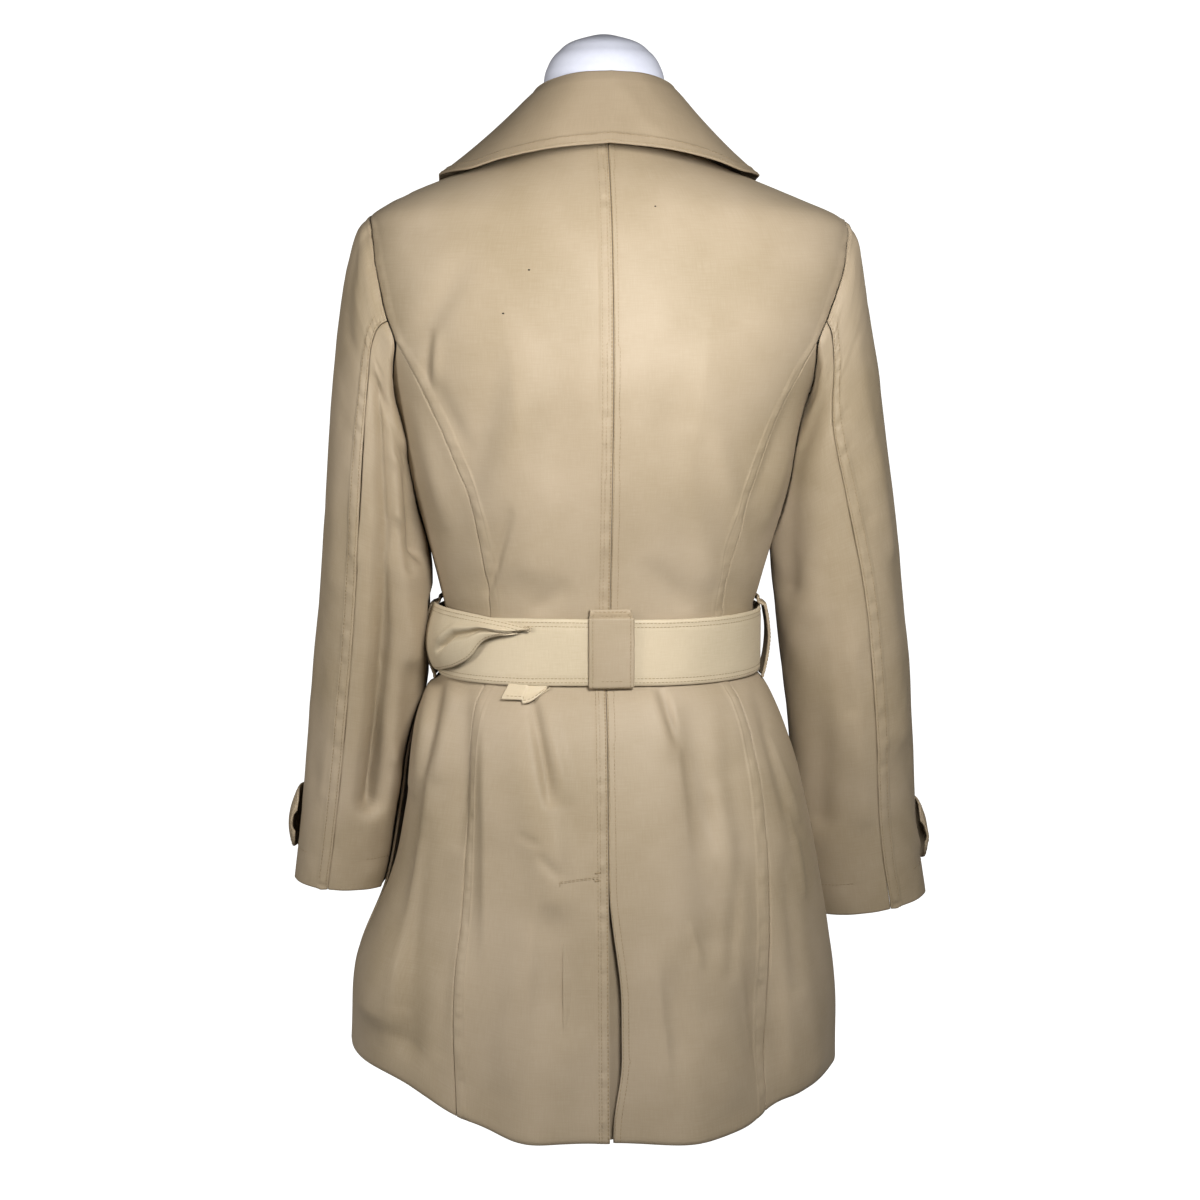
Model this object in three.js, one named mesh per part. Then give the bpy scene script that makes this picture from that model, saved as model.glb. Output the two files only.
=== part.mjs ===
// A belted trench coat worn by a short limbless dress form.
// Millimetres, +Z up, +Y behind the wearer, +X at the wearer's left. The origin is the middle of the foot's underside.
import * as THREE from 'three';

// Driving dimensions
const WALL = 1.8;
const SEAM = 0.3;
const HEM_Z = 24;
const UNDERARM_Z = 600;
const SHOULDER_Z = 745;
const NECK_Z = 795;
const WAIST_Z = 400;
const BELT_HEIGHT = 52;
const LOOP_WIDTH = 33;
const VENT_TOP_Z = 232;
const VENT_LAP = 42;
const OVERLAP_STEP = 2.6;
const BUTTON_RADIUS = 11;
const SLEEVE_LIFT = 0.5;
const BELT_STACK = 8.8;
const CLOTH_CLEARANCE = 1.2;

// Sections of the coat's body: half widths to the wearer's left and right, depths behind and in front of the
// axis, squareness of the outline, and how far the section's back edge stands above its front edge.
const SECTIONS = [
  { z: 24, left: 211, right: 200, back: 166, front: 150, square: 2.3, lift: 0 },
  { z: 126, left: 203, right: 196, back: 157, front: 143, square: 2.3, lift: 0 },
  { z: 198, left: 180, right: 185, back: 149, front: 136, square: 2.3, lift: 0 },
  { z: 262, left: 168, right: 172, back: 139, front: 128, square: 2.3, lift: 0 },
  { z: 313, left: 160, right: 159, back: 127, front: 120, square: 2.3, lift: 0 },
  { z: 345, left: 150, right: 147, back: 116, front: 114, square: 2.3, lift: 0 },
  { z: 362, left: 141, right: 138, back: 107, front: 109, square: 2.3, lift: 0 },
  { z: 374, left: 131, right: 129, back: 98, front: 105, square: 2.3, lift: 0 },
  { z: 400, left: 129, right: 128, back: 94, front: 104, square: 2.3, lift: 0 },
  { z: 426, left: 129, right: 127, back: 92, front: 105, square: 2.3, lift: 0 },
  { z: 440, left: 132, right: 131, back: 93, front: 106, square: 2.3, lift: 0 },
  { z: 480, left: 142, right: 143, back: 100, front: 114, square: 2.3, lift: 0 },
  { z: 530, left: 156, right: 156, back: 111, front: 126, square: 2.35, lift: 0 },
  { z: 580, left: 166, right: 164, back: 118, front: 132, square: 2.4, lift: 0 },
  { z: 620, left: 177, right: 178, back: 121, front: 127, square: 2.45, lift: 0 },
  { z: 662, left: 187, right: 192, back: 119, front: 117, square: 2.5, lift: 0 },
  { z: 700, left: 190, right: 203, back: 113, front: 104, square: 2.5, lift: 1 },
  { z: 728, left: 188, right: 204, back: 106, front: 93, square: 2.4, lift: 2 },
  { z: 745, left: 183, right: 194, back: 99, front: 84, square: 2.3, lift: 4 },
  { z: 756, left: 166, right: 168, back: 93, front: 76, square: 2.2, lift: 5 },
  { z: 768, left: 138, right: 138, back: 85, front: 68, square: 2.1, lift: 6 },
  { z: 781, left: 103, right: 104, back: 75, front: 61, square: 2.0, lift: 7 },
  { z: 795, left: 70, right: 72, back: 66, front: 54, square: 2.0, lift: 8 },
];

// Angles, in degrees from the centre back, of the seam between back and side back, and of the armhole's edges.
const PRINCESS = [
  { z: 26, angle: 42 }, { z: 180, angle: 46 }, { z: 291, angle: 50 }, { z: 362, angle: 53 },
  { z: 400, angle: 54 }, { z: 445, angle: 53 }, { z: 500, angle: 52 }, { z: 545, angle: 55 },
  { z: 590, angle: 60 }, { z: 625, angle: 65 }, { z: 645, angle: 69 },
];
const SIDE_SEAM = 92;
const ARMHOLE = [
  { z: 600, back: 92, front: 92 }, { z: 603, back: 84, front: 100 }, { z: 612, back: 77, front: 108 },
  { z: 628, back: 72, front: 113 }, { z: 645, back: 69, front: 115 }, { z: 662, back: 71, front: 114 },
  { z: 700, back: 75, front: 110 }, { z: 728, back: 80, front: 104 }, { z: 741, back: 85, front: 97 },
  { z: 745, back: 90, front: 90 },
];
const PRINCESS_TOP_Z = 645;

// The height of the hem round the coat, by angle from the centre back towards the wearer's left.
const HEM = [
  { angle: -180, z: 26 }, { angle: -115, z: 28 }, { angle: -90, z: 34 }, { angle: -68, z: 48 }, { angle: -50, z: 42 },
  { angle: -34, z: 26 }, { angle: -16, z: 21 }, { angle: 0, z: 24 }, { angle: 14, z: 25 }, { angle: 28, z: 26 },
  { angle: 40, z: 37 }, { angle: 54, z: 58 }, { angle: 72, z: 63 }, { angle: 90, z: 60 }, { angle: 115, z: 42 },
  { angle: 150, z: 28 }, { angle: 180, z: 26 },
];
const HEM_FADE_Z = 200;

// The line that each front folds back along to make its lapel.
const ROLL_LINE = [
  { z: 500, angle: 205 }, { z: 550, angle: 189 }, { z: 600, angle: 176 }, { z: 650, angle: 166 },
  { z: 700, angle: 155 }, { z: 740, angle: 141 }, { z: 770, angle: 124 }, { z: 795, angle: 105 },
];
const BREAK_Z = 500;
const FRONT_WRAP = 205;

// The largest folds of the body. Each runs from (x0, z0) to (x1, z1) on the back or the front.
const BODY_FOLDS = [
  { face: 'back', x0: 78, z0: 355, x1: 48, z1: 215, width: 15, depth: 5 },
  { face: 'back', x0: 128, z0: 350, x1: 165, z1: 60, width: 17, depth: -8 },
  { face: 'back', x0: 140, z0: 330, x1: 190, z1: 80, width: 16, depth: 6 },
  { face: 'back', x0: 92, z0: 240, x1: 108, z1: 26, width: 22, depth: -6 },
  { face: 'back', x0: -60, z0: 360, x1: -78, z1: 180, width: 17, depth: -5 },
  { face: 'back', x0: -96, z0: 300, x1: -132, z1: 26, width: 20, depth: -7 },
  { face: 'back', x0: -128, z0: 300, x1: -160, z1: 40, width: 18, depth: 6 },
  { face: 'back', x0: -34, z0: 150, x1: -60, z1: 26, width: 24, depth: 6 },
  { face: 'back', x0: 55, z0: 170, x1: 62, z1: 26, width: 26, depth: 6 },
  { face: 'back', x0: 70, z0: 640, x1: 62, z1: 470, width: 18, depth: 4 },
  { face: 'back', x0: -66, z0: 620, x1: -84, z1: 460, width: 18, depth: 4 },
  { face: 'front', x0: 95, z0: 350, x1: 125, z1: 26, width: 20, depth: -7 },
  { face: 'front', x0: 130, z0: 330, x1: 165, z1: 26, width: 18, depth: 6 },
  { face: 'front', x0: -98, z0: 345, x1: -130, z1: 26, width: 20, depth: -7 },
];

// Sleeves. Rows run from the armhole (s = 0) to the cuff (s = 1) and give the outer and inner guide lines
// and the depths of the sleeve's back and front.
const SLEEVES = {
  left: {
    side: 1,
    rows: [
      { s: 0, outX: 183, outZ: 745, inX: 172, inZ: 600, back: 58, front: -70 },
      { s: 0.05, outX: 194, outZ: 736, inX: 176, inZ: 597, back: 60, front: -72 },
      { s: 0.12, outX: 204, outZ: 706, inX: 176, inZ: 586, back: 60, front: -72 },
      { s: 0.22, outX: 213, outZ: 655, inX: 160, inZ: 562, back: 58, front: -70 },
      { s: 0.36, outX: 221, outZ: 578, inX: 146, inZ: 515, back: 54, front: -68 },
      { s: 0.54, outX: 229, outZ: 470, inX: 138, inZ: 435, back: 44, front: -70 },
      { s: 0.74, outX: 241, outZ: 349, inX: 147, inZ: 330, back: 28, front: -78 },
      { s: 0.9, outX: 251, outZ: 250, inX: 163, inZ: 241, back: 14, front: -84 },
      { s: 1, outX: 258, outZ: 191, inX: 173, inZ: 187, back: 8, front: -88 },
    ],
    seam: [{ s: 0, angle: 100 }, { s: 0.1, angle: 82 }, { s: 0.3, angle: 74 }, { s: 1, angle: 72 }],
    folds: [
      { s0: 0.1, a0: 58, s1: 0.7, a1: 92, width: 13, depth: -9 },
      { s0: 0.3, a0: 125, s1: 0.42, a1: 160, width: 10, depth: -7 },
      { s0: 0.55, a0: 110, s1: 0.78, a1: 150, width: 14, depth: -6 },
      { s0: 0.45, a0: 95, s1: 0.62, a1: 135, width: 14, depth: 5 },
    ],
  },
  right: {
    side: -1,
    rows: [
      { s: 0, outX: 194, outZ: 745, inX: 172, inZ: 600, back: 58, front: -70 },
      { s: 0.05, outX: 204, outZ: 733, inX: 176, inZ: 597, back: 60, front: -72 },
      { s: 0.12, outX: 214, outZ: 700, inX: 176, inZ: 586, back: 60, front: -72 },
      { s: 0.22, outX: 227, outZ: 645, inX: 160, inZ: 560, back: 58, front: -70 },
      { s: 0.36, outX: 240, outZ: 567, inX: 146, inZ: 508, back: 54, front: -68 },
      { s: 0.54, outX: 256, outZ: 452, inX: 150, inZ: 420, back: 44, front: -70 },
      { s: 0.74, outX: 270, outZ: 328, inX: 165, inZ: 308, back: 28, front: -78 },
      { s: 0.9, outX: 279, outZ: 230, inX: 174, inZ: 211, back: 14, front: -84 },
      { s: 1, outX: 289, outZ: 168, inX: 186, inZ: 152, back: 8, front: -88 },
    ],
    seam: [{ s: 0, angle: 100 }, { s: 0.2, angle: 100 }, { s: 0.4, angle: 86 }, { s: 0.6, angle: 77 }, { s: 1, angle: 77 }],
    folds: [
      { s0: 0.2, a0: 130, s1: 0.5, a1: 150, width: 14, depth: -6 },
      { s0: 0.58, a0: 120, s1: 0.85, a1: 135, width: 14, depth: -6 },
      { s0: 0.4, a0: 60, s1: 0.75, a1: 50, width: 16, depth: 4 },
    ],
  },
};
const FRONT_SLEEVE_SEAM = -110;
const SLEEVE_LENGTH = 590;
const SLEEVE_RADIUS = 48;

const COLLAR_SHIFT = 3;
// The collar, from the centre back to its front end on the wearer's left: the neck seam, the fold at the top
// of the stand, and the edge of the fall.
const COLLAR = [
  { t: 0, seamX: 0, seamY: 68, seamZ: 805, foldX: 0, foldY: 68, foldZ: 853, edgeX: -2, edgeY: 92, edgeZ: 796 },
  { t: 0.16, seamX: 34, seamY: 58, seamZ: 804, foldX: 26, foldY: 62, foldZ: 852, edgeX: 42, edgeY: 92, edgeZ: 792 },
  { t: 0.32, seamX: 60, seamY: 34, seamZ: 802, foldX: 46, foldY: 43, foldZ: 848, edgeX: 82, edgeY: 80, edgeZ: 785 },
  { t: 0.48, seamX: 73, seamY: 3, seamZ: 798, foldX: 56, foldY: 12, foldZ: 842, edgeX: 112, edgeY: 54, edgeZ: 778 },
  { t: 0.62, seamX: 69, seamY: -22, seamZ: 792, foldX: 58, foldY: -18, foldZ: 832, edgeX: 128, edgeY: 16, edgeZ: 778 },
  { t: 0.78, seamX: 60, seamY: -44, seamZ: 786, foldX: 57, foldY: -46, foldZ: 814, edgeX: 130, edgeY: -28, edgeZ: 773 },
  { t: 0.9, seamX: 56, seamY: -60, seamZ: 778, foldX: 55, foldY: -66, foldZ: 796, edgeX: 127, edgeY: -64, edgeZ: 752 },
  { t: 1, seamX: 58, seamY: -73, seamZ: 768, foldX: 58, foldY: -80, foldZ: 780, edgeX: 112, edgeY: -90, edgeZ: 733 },
];

// The dress form: the hollow torso is inset from the coat, and the neck rises out of the collar.
const FORM_INSET = [
  { z: 150, inset: 52, drop: 0 }, { z: 200, inset: 32, drop: 0 }, { z: 262, inset: 18, drop: 0 },
  { z: 330, inset: 14, drop: 0 }, { z: 400, inset: 7, drop: 0 }, { z: 480, inset: 7, drop: 0 },
  { z: 580, inset: 8, drop: 0 }, { z: 640, inset: 8, drop: 0 }, { z: 700, inset: 6.5, drop: 1 },
  { z: 735, inset: 7.8, drop: 2.8 }, { z: 745, inset: 4.2, drop: 3.2 }, { z: 752, inset: 2.2, drop: 3.4 }, { z: 795, inset: 2.2, drop: 3.2 },
];
const FORM_BOTTOM_Z = 150;
const NECK = [
  { z: 799, radius: 60, y: 4 }, { z: 807, radius: 54.5, y: 2 }, { z: 822, radius: 50.5, y: -2 },
  { z: 845, radius: 49.5, y: -6 }, { z: 862, radius: 47, y: -8 }, { z: 876, radius: 38, y: -9 },
  { z: 886, radius: 23, y: -10 }, { z: 890, radius: 9, y: -10 },
];
const NECK_TOP_Z = 891;
const NECK_LEAN = 4;
const FOOT_RADIUS = 98;
const FOOT_HEIGHT = 10;
const STEM_RADIUS = 14;

const COLOURS = {
  cloth: [0xb8a585, 0.75, 0],
  belt: [0xcbb995, 0.7, 0],
  button: [0x4a3a28, 0.35, 0],
  buckle: [0x5a4630, 0.4, 0],
  form: [0xe9ebf3, 0.4, 0],
  metal: [0xc8c8cc, 0.25, 1],
};

const group = new THREE.Group();
const radians = THREE.MathUtils.degToRad;
const lerp = THREE.MathUtils.lerp;

// A smooth curve through one column of a table, as a function of the table's key column.
function column(rows, key, name) {
  const xs = rows.map((row) => row[key]);
  const ys = rows.map((row) => row[name]);
  const last = xs.length - 1;
  const slopes = [];
  for (let i = 0; i < last; i++) slopes.push((ys[i + 1] - ys[i]) / (xs[i + 1] - xs[i]));
  const tangents = [slopes[0]];
  for (let i = 1; i < last; i++) {
    const before = xs[i] - xs[i - 1];
    const after = xs[i + 1] - xs[i];
    const turning = slopes[i - 1] * slopes[i] <= 0;
    tangents.push(turning ? 0 : (slopes[i - 1] * after + slopes[i] * before) / (before + after));
  }
  tangents.push(slopes[last - 1]);
  return (x) => {
    const clamped = Math.min(Math.max(x, xs[0]), xs[last]);
    let i = 0;
    while (i < last - 1 && clamped > xs[i + 1]) i++;
    const step = xs[i + 1] - xs[i];
    const t = (clamped - xs[i]) / step;
    const t2 = t * t;
    const t3 = t2 * t;
    return (2 * t3 - 3 * t2 + 1) * ys[i] + (t3 - 2 * t2 + t) * step * tangents[i]
      + (3 * t2 - 2 * t3) * ys[i + 1] + (t3 - t2) * step * tangents[i + 1];
  };
}

const left = column(SECTIONS, 'z', 'left');
const right = column(SECTIONS, 'z', 'right');
const back = column(SECTIONS, 'z', 'back');
const front = column(SECTIONS, 'z', 'front');
const square = column(SECTIONS, 'z', 'square');
const lift = column(SECTIONS, 'z', 'lift');
const princess = column(PRINCESS, 'z', 'angle');
const armholeBack = column(ARMHOLE, 'z', 'back');
const armholeFront = column(ARMHOLE, 'z', 'front');
const rollLine = column(ROLL_LINE, 'z', 'angle');
const hemHeight = column(HEM, 'angle', 'z');

// How strongly a fold that runs along a segment acts at a point: 1 on the segment, 0 far from it.
function foldStrength(px, py, x0, y0, x1, y1, width) {
  const dx = x1 - x0;
  const dy = y1 - y0;
  const along = Math.min(Math.max(((px - x0) * dx + (py - y0) * dy) / (dx * dx + dy * dy), 0), 1);
  const away = Math.hypot(px - x0 - along * dx, py - y0 - along * dy) / width;
  return Math.exp(-away * away) * (0.45 + 0.55 * along);
}

function smoothstep(low, high, x) {
  return THREE.MathUtils.smoothstep(x, low, high);
}

// Outline of the coat's body before its folds.
function plainRadius(angle, z) {
  const s = Math.sin(angle);
  const c = Math.cos(angle);
  const half = s >= 0 ? left(z) : right(z);
  const depth = c >= 0 ? back(z) : front(z);
  const n = square(z);
  return Math.pow(Math.pow(Math.abs(s) / half, n) + Math.pow(Math.abs(c) / depth, n), -1 / n);
}

function bodyRadius(angle, z) {
  const plain = plainRadius(angle, z);
  const x = plain * Math.sin(angle);
  const face = Math.cos(angle) >= 0 ? 'back' : 'front';
  const quiet = smoothstep(BELT_HEIGHT * 0.55, BELT_HEIGHT * 1.3, Math.abs(z - WAIST_Z));
  let folds = 0;
  for (const fold of BODY_FOLDS) {
    if (fold.face !== face) continue;
    folds += fold.depth * foldStrength(x, z, fold.x0, fold.z0, fold.x1, fold.z1, fold.width);
  }
  const atSide = smoothstep(0, 0.3, Math.abs(Math.cos(angle)));
  const offLap = face === 'back' ? 1 : smoothstep(72, 92, Math.abs(x));
  return plain + folds * quiet * atSide * offLap;
}

function onBody(angle, z) {
  const r = bodyRadius(angle, z);
  const turn = THREE.MathUtils.radToDeg(Math.atan2(Math.sin(angle), Math.cos(angle)));
  const hem = (hemHeight(turn) - HEM_Z) * (1 - smoothstep(HEM_Z, HEM_FADE_Z, z));
  return new THREE.Vector3(r * Math.sin(angle), r * Math.cos(angle), z + lift(z) * Math.cos(angle) + hem);
}

// A point of the body moved outwards along its normal.
function bodyPoint(angle, z, out = 0) {
  const p = onBody(angle, z);
  if (out === 0) return p;
  const step = 0.02;
  const rise = 2;
  const low = Math.max(z - rise, HEM_Z);
  const high = Math.min(z + rise, NECK_Z);
  const across = onBody(angle + step, z).sub(onBody(angle - step, z));
  const up = onBody(angle, high).sub(onBody(angle, low));
  return p.addScaledVector(up.cross(across).normalize(), out);
}

// The angle on the front at which the body has the given x.
function frontAngle(x, z) {
  let low = radians(90);
  let high = radians(270);
  for (let i = 0; i < 40; i++) {
    const middle = (low + high) / 2;
    if (plainRadius(middle, z) * Math.sin(middle) > x) low = middle;
    else high = middle;
  }
  return (low + high) / 2;
}

// A closed wall between an outer and an inner grid of points.
function wallGeometry(outer, inner, nu, nv) {
  const positions = [];
  const index = [];
  const stride = nv + 1;
  const count = (nu + 1) * stride;
  for (const grid of [outer, inner]) {
    for (let i = 0; i <= nu; i++) {
      for (let j = 0; j <= nv; j++) positions.push(...grid(i / nu, j / nv).toArray());
    }
  }
  const quad = (a, b, c, d) => index.push(a, b, c, a, c, d);
  const at = (i, j) => i * stride + j;
  for (let i = 0; i < nu; i++) {
    for (let j = 0; j < nv; j++) {
      quad(at(i, j), at(i + 1, j), at(i + 1, j + 1), at(i, j + 1));
      quad(count + at(i, j), count + at(i, j + 1), count + at(i + 1, j + 1), count + at(i + 1, j));
    }
  }
  for (let i = 0; i < nu; i++) {
    quad(at(i + 1, 0), at(i, 0), count + at(i, 0), count + at(i + 1, 0));
    quad(at(i, nv), at(i + 1, nv), count + at(i + 1, nv), count + at(i, nv));
  }
  for (let j = 0; j < nv; j++) {
    quad(at(0, j), at(0, j + 1), count + at(0, j + 1), count + at(0, j));
    quad(at(nu, j + 1), at(nu, j), count + at(nu, j), count + at(nu, j + 1));
  }
  return outwardGeometry(positions, index);
}

// An indexed geometry whose faces point outwards, found from the sign of its volume.
function outwardGeometry(positions, index) {
  let volume = 0;
  const corner = (i) => new THREE.Vector3().fromArray(positions, 3 * i);
  for (let i = 0; i < index.length; i += 3) {
    volume += corner(index[i]).dot(corner(index[i + 1]).cross(corner(index[i + 2])));
  }
  if (volume < 0) {
    for (let i = 0; i < index.length; i += 3) [index[i + 1], index[i + 2]] = [index[i + 2], index[i + 1]];
  }
  const geometry = new THREE.BufferGeometry();
  geometry.setAttribute('position', new THREE.Float32BufferAttribute(positions, 3));
  geometry.setIndex(index);
  geometry.computeVertexNormals();
  return geometry;
}

function addMesh(name, geometry, finish) {
  const [color, roughness, metalness] = COLOURS[finish];
  const mesh = new THREE.Mesh(geometry, new THREE.MeshStandardMaterial({ color, roughness, metalness }));
  mesh.name = name;
  group.add(mesh);
  return mesh;
}

// A panel that lies on the body between two seams, drawn in angle and height.
function bodyPanel(name, heights, startAngle, endAngle, nu, outside = () => 0) {
  const nv = heights.length - 1;
  const place = (depth) => (u, v) => {
    const z = heights[Math.round(v * nv)];
    const a = radians(startAngle(z));
    const b = radians(endAngle(z));
    const inset = (Math.sign(b - a) * SEAM) / 2 / plainRadius(a, z);
    const angle = lerp(a + inset, b - inset, u);
    return bodyPoint(angle, z, outside(angle, z) - depth);
  };
  addMesh(name, wallGeometry(place(0), place(WALL), nu, nv), 'cloth');
}

function spread(from, to, count) {
  return Array.from({ length: count + 1 }, (_, i) => lerp(from, to, i / count));
}

const SKIRT_HEIGHTS = [...spread(HEM_Z, 330, 8), 350, 364, 374, 400, 426, 440, 470, 505, 545, 577];
const UPPER_HEIGHTS = [605, 625, 645, 665, 685, 705, 722, 735, 745, 752, 760, 769, 778, 787, 795];
const PANEL_HEIGHTS = [...SKIRT_HEIGHTS, 600, ...UPPER_HEIGHTS];
const SIDE_BACK_HEIGHTS = [...SKIRT_HEIGHTS, 600, 605, 625, 640];

function backEdge(z) {
  if (z <= PRINCESS_TOP_Z) return princess(z);
  return z < SHOULDER_Z ? armholeBack(z) : 90;
}

function frontSideEdge(z) {
  if (z <= UNDERARM_Z) return SIDE_SEAM;
  return z < SHOULDER_Z ? armholeFront(z) : 90;
}

// The right back's edge falls away from the slit of the vent, in degrees from the centre.
function ventGap(z) {
  if (z >= VENT_TOP_Z) return 0;
  return -3.4 * (1 - smoothstep(130, VENT_TOP_Z - 4, z)) * (1 - 0.75 * (1 - smoothstep(30, 90, z)));
}

function frontInnerEdge(z) {
  return z <= BREAK_Z ? FRONT_WRAP : rollLine(z);
}

function buildBody() {
  for (const [name, side] of [['left', 1], ['right', -1]]) {
    const lapped = (angle, z) => {
      if (side > 0) return 0;
      const past = smoothstep(radians(128), radians(146), Math.abs(angle));
      return OVERLAP_STEP * past * (1 - 0.4 * smoothstep(BREAK_Z + 100, NECK_Z - 60, z));
    };
    bodyPanel(`back_${name}`, PANEL_HEIGHTS, (z) => (side > 0 ? 0 : ventGap(z)), (z) => side * backEdge(z), 8);
    bodyPanel(`side_back_${name}`, SIDE_BACK_HEIGHTS, (z) => side * princess(z),
      (z) => side * (z <= UNDERARM_Z ? SIDE_SEAM : armholeBack(z)), 5);
    bodyPanel(`front_${name}`, PANEL_HEIGHTS, (z) => side * frontSideEdge(z), (z) => side * frontInnerEdge(z), 9,
      lapped);
  }
  buildVentUnderlap();
}

// The underlap of the back vent lies behind both edges of the slit.
function buildVentUnderlap() {
  const reach = 14;
  const place = (depth) => (u, v) => {
    const z = lerp(HEM_Z + 1, VENT_TOP_Z, v);
    const x = lerp(-reach, VENT_LAP, u);
    return bodyPoint(Math.atan2(x, back(z)), z, -WALL - 1.2 - depth);
  };
  addMesh('vent_underlap', wallGeometry(place(0), place(WALL - 0.4), 4, 12), 'cloth');
}

// Lapels: each is the front turned back along its roll line, lying on the chest.
const LAPELS = [
  {
    name: 'left', side: 1, startZ: 596, under: 0.6,
    edge: [
      { t: 0, x: 12, z: 597 }, { t: 0.25, x: 42, z: 622 }, { t: 0.5, x: 72, z: 652 }, { t: 0.8, x: 104, z: 684 },
      { t: 1, x: 121, z: 702 },
    ],
  },
  {
    name: 'right', side: -1, startZ: 508, under: OVERLAP_STEP + 0.6,
    edge: [
      { t: 0, x: -42, z: 507 }, { t: 0.2, x: -4, z: 545 }, { t: 0.45, x: 50, z: 606 }, { t: 0.7, x: 90, z: 660 },
      { t: 0.88, x: 111, z: 688 }, { t: 1, x: 121, z: 702 },
    ],
  },
];
const LAPEL_TOP_Z = 745;

function buildLapels() {
  for (const lapel of LAPELS) {
    const edgeX = column(lapel.edge, 't', 'x');
    const edgeZ = column(lapel.edge, 't', 'z');
    const place = (depth) => (u, v) => {
      const rollZ = lerp(lapel.startZ, LAPEL_TOP_Z, v);
      const rollAngle = radians(rollLine(rollZ)) - 0.012;
      const outAngle = frontAngle(edgeX(v), edgeZ(v));
      const angle = lerp(rollAngle, outAngle, u);
      const z = lerp(rollZ, edgeZ(v), u);
      const roll = 5 * Math.sin(Math.PI * Math.min(1, u * 0.85 + 0.12)) * smoothstep(0, 0.3, v);
      return bodyPoint(lapel.side * angle, z, lapel.under + WALL + roll - depth);
    };
    addMesh(`lapel_${lapel.name}`, wallGeometry(place(0), place(WALL), 6, 12), 'cloth');
  }
}

// The collar is one folded wall: up the stand, over the fold and down the fall.
function collarPoint(t, name) {
  const side = t < 0 ? -1 : 1;
  const at = Math.abs(t);
  const shift = name === 'fold' ? COLLAR_SHIFT : 0;
  return new THREE.Vector3(side * collarColumns[`${name}X`](at) - shift, collarColumns[`${name}Y`](at),
    collarColumns[`${name}Z`](at));
}
const collarColumns = Object.fromEntries(
  Object.keys(COLLAR[0]).filter((key) => key !== 't').map((key) => [key, column(COLLAR, 't', key)]),
);

function collarSheet(t, v) {
  const seam = collarPoint(t, 'seam');
  const fold = collarPoint(t, 'fold');
  const edge = collarPoint(t, 'edge');
  const foldShare = 0.4;
  if (v < foldShare) {
    const share = v / foldShare;
    return seam.lerp(fold, Math.sin((share * Math.PI) / 2) * 0.25 + share * 0.75);
  }
  const share = (v - foldShare) / (1 - foldShare);
  const bulge = 1.5 * Math.sin(Math.PI * share);
  const away = new THREE.Vector3(edge.x - seam.x * 0.6, edge.y - seam.y * 0.6, 18).normalize();
  const start = fold.clone().addScaledVector(away, 2.4 * Math.min(1, share * 6));
  return start.lerp(edge, share).addScaledVector(away, bulge);
}

function buildCollar() {
  const nu = 24;
  const nv = 10;
  const normalAt = (t, v) => {
    const du = 0.02;
    const dv = 0.03;
    const across = collarSheet(Math.min(1, t + du), v).sub(collarSheet(Math.max(-1, t - du), v));
    const along = collarSheet(t, Math.min(1, v + dv)).sub(collarSheet(t, Math.max(0, v - dv)));
    return across.cross(along).normalize();
  };
  const place = (depth) => (u, v) => {
    const t = lerp(-1, 1, u);
    return collarSheet(t, v).addScaledVector(normalAt(t, v), -depth);
  };
  addMesh('collar', wallGeometry(place(0), place(WALL), nu, nv), 'cloth');
}

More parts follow.
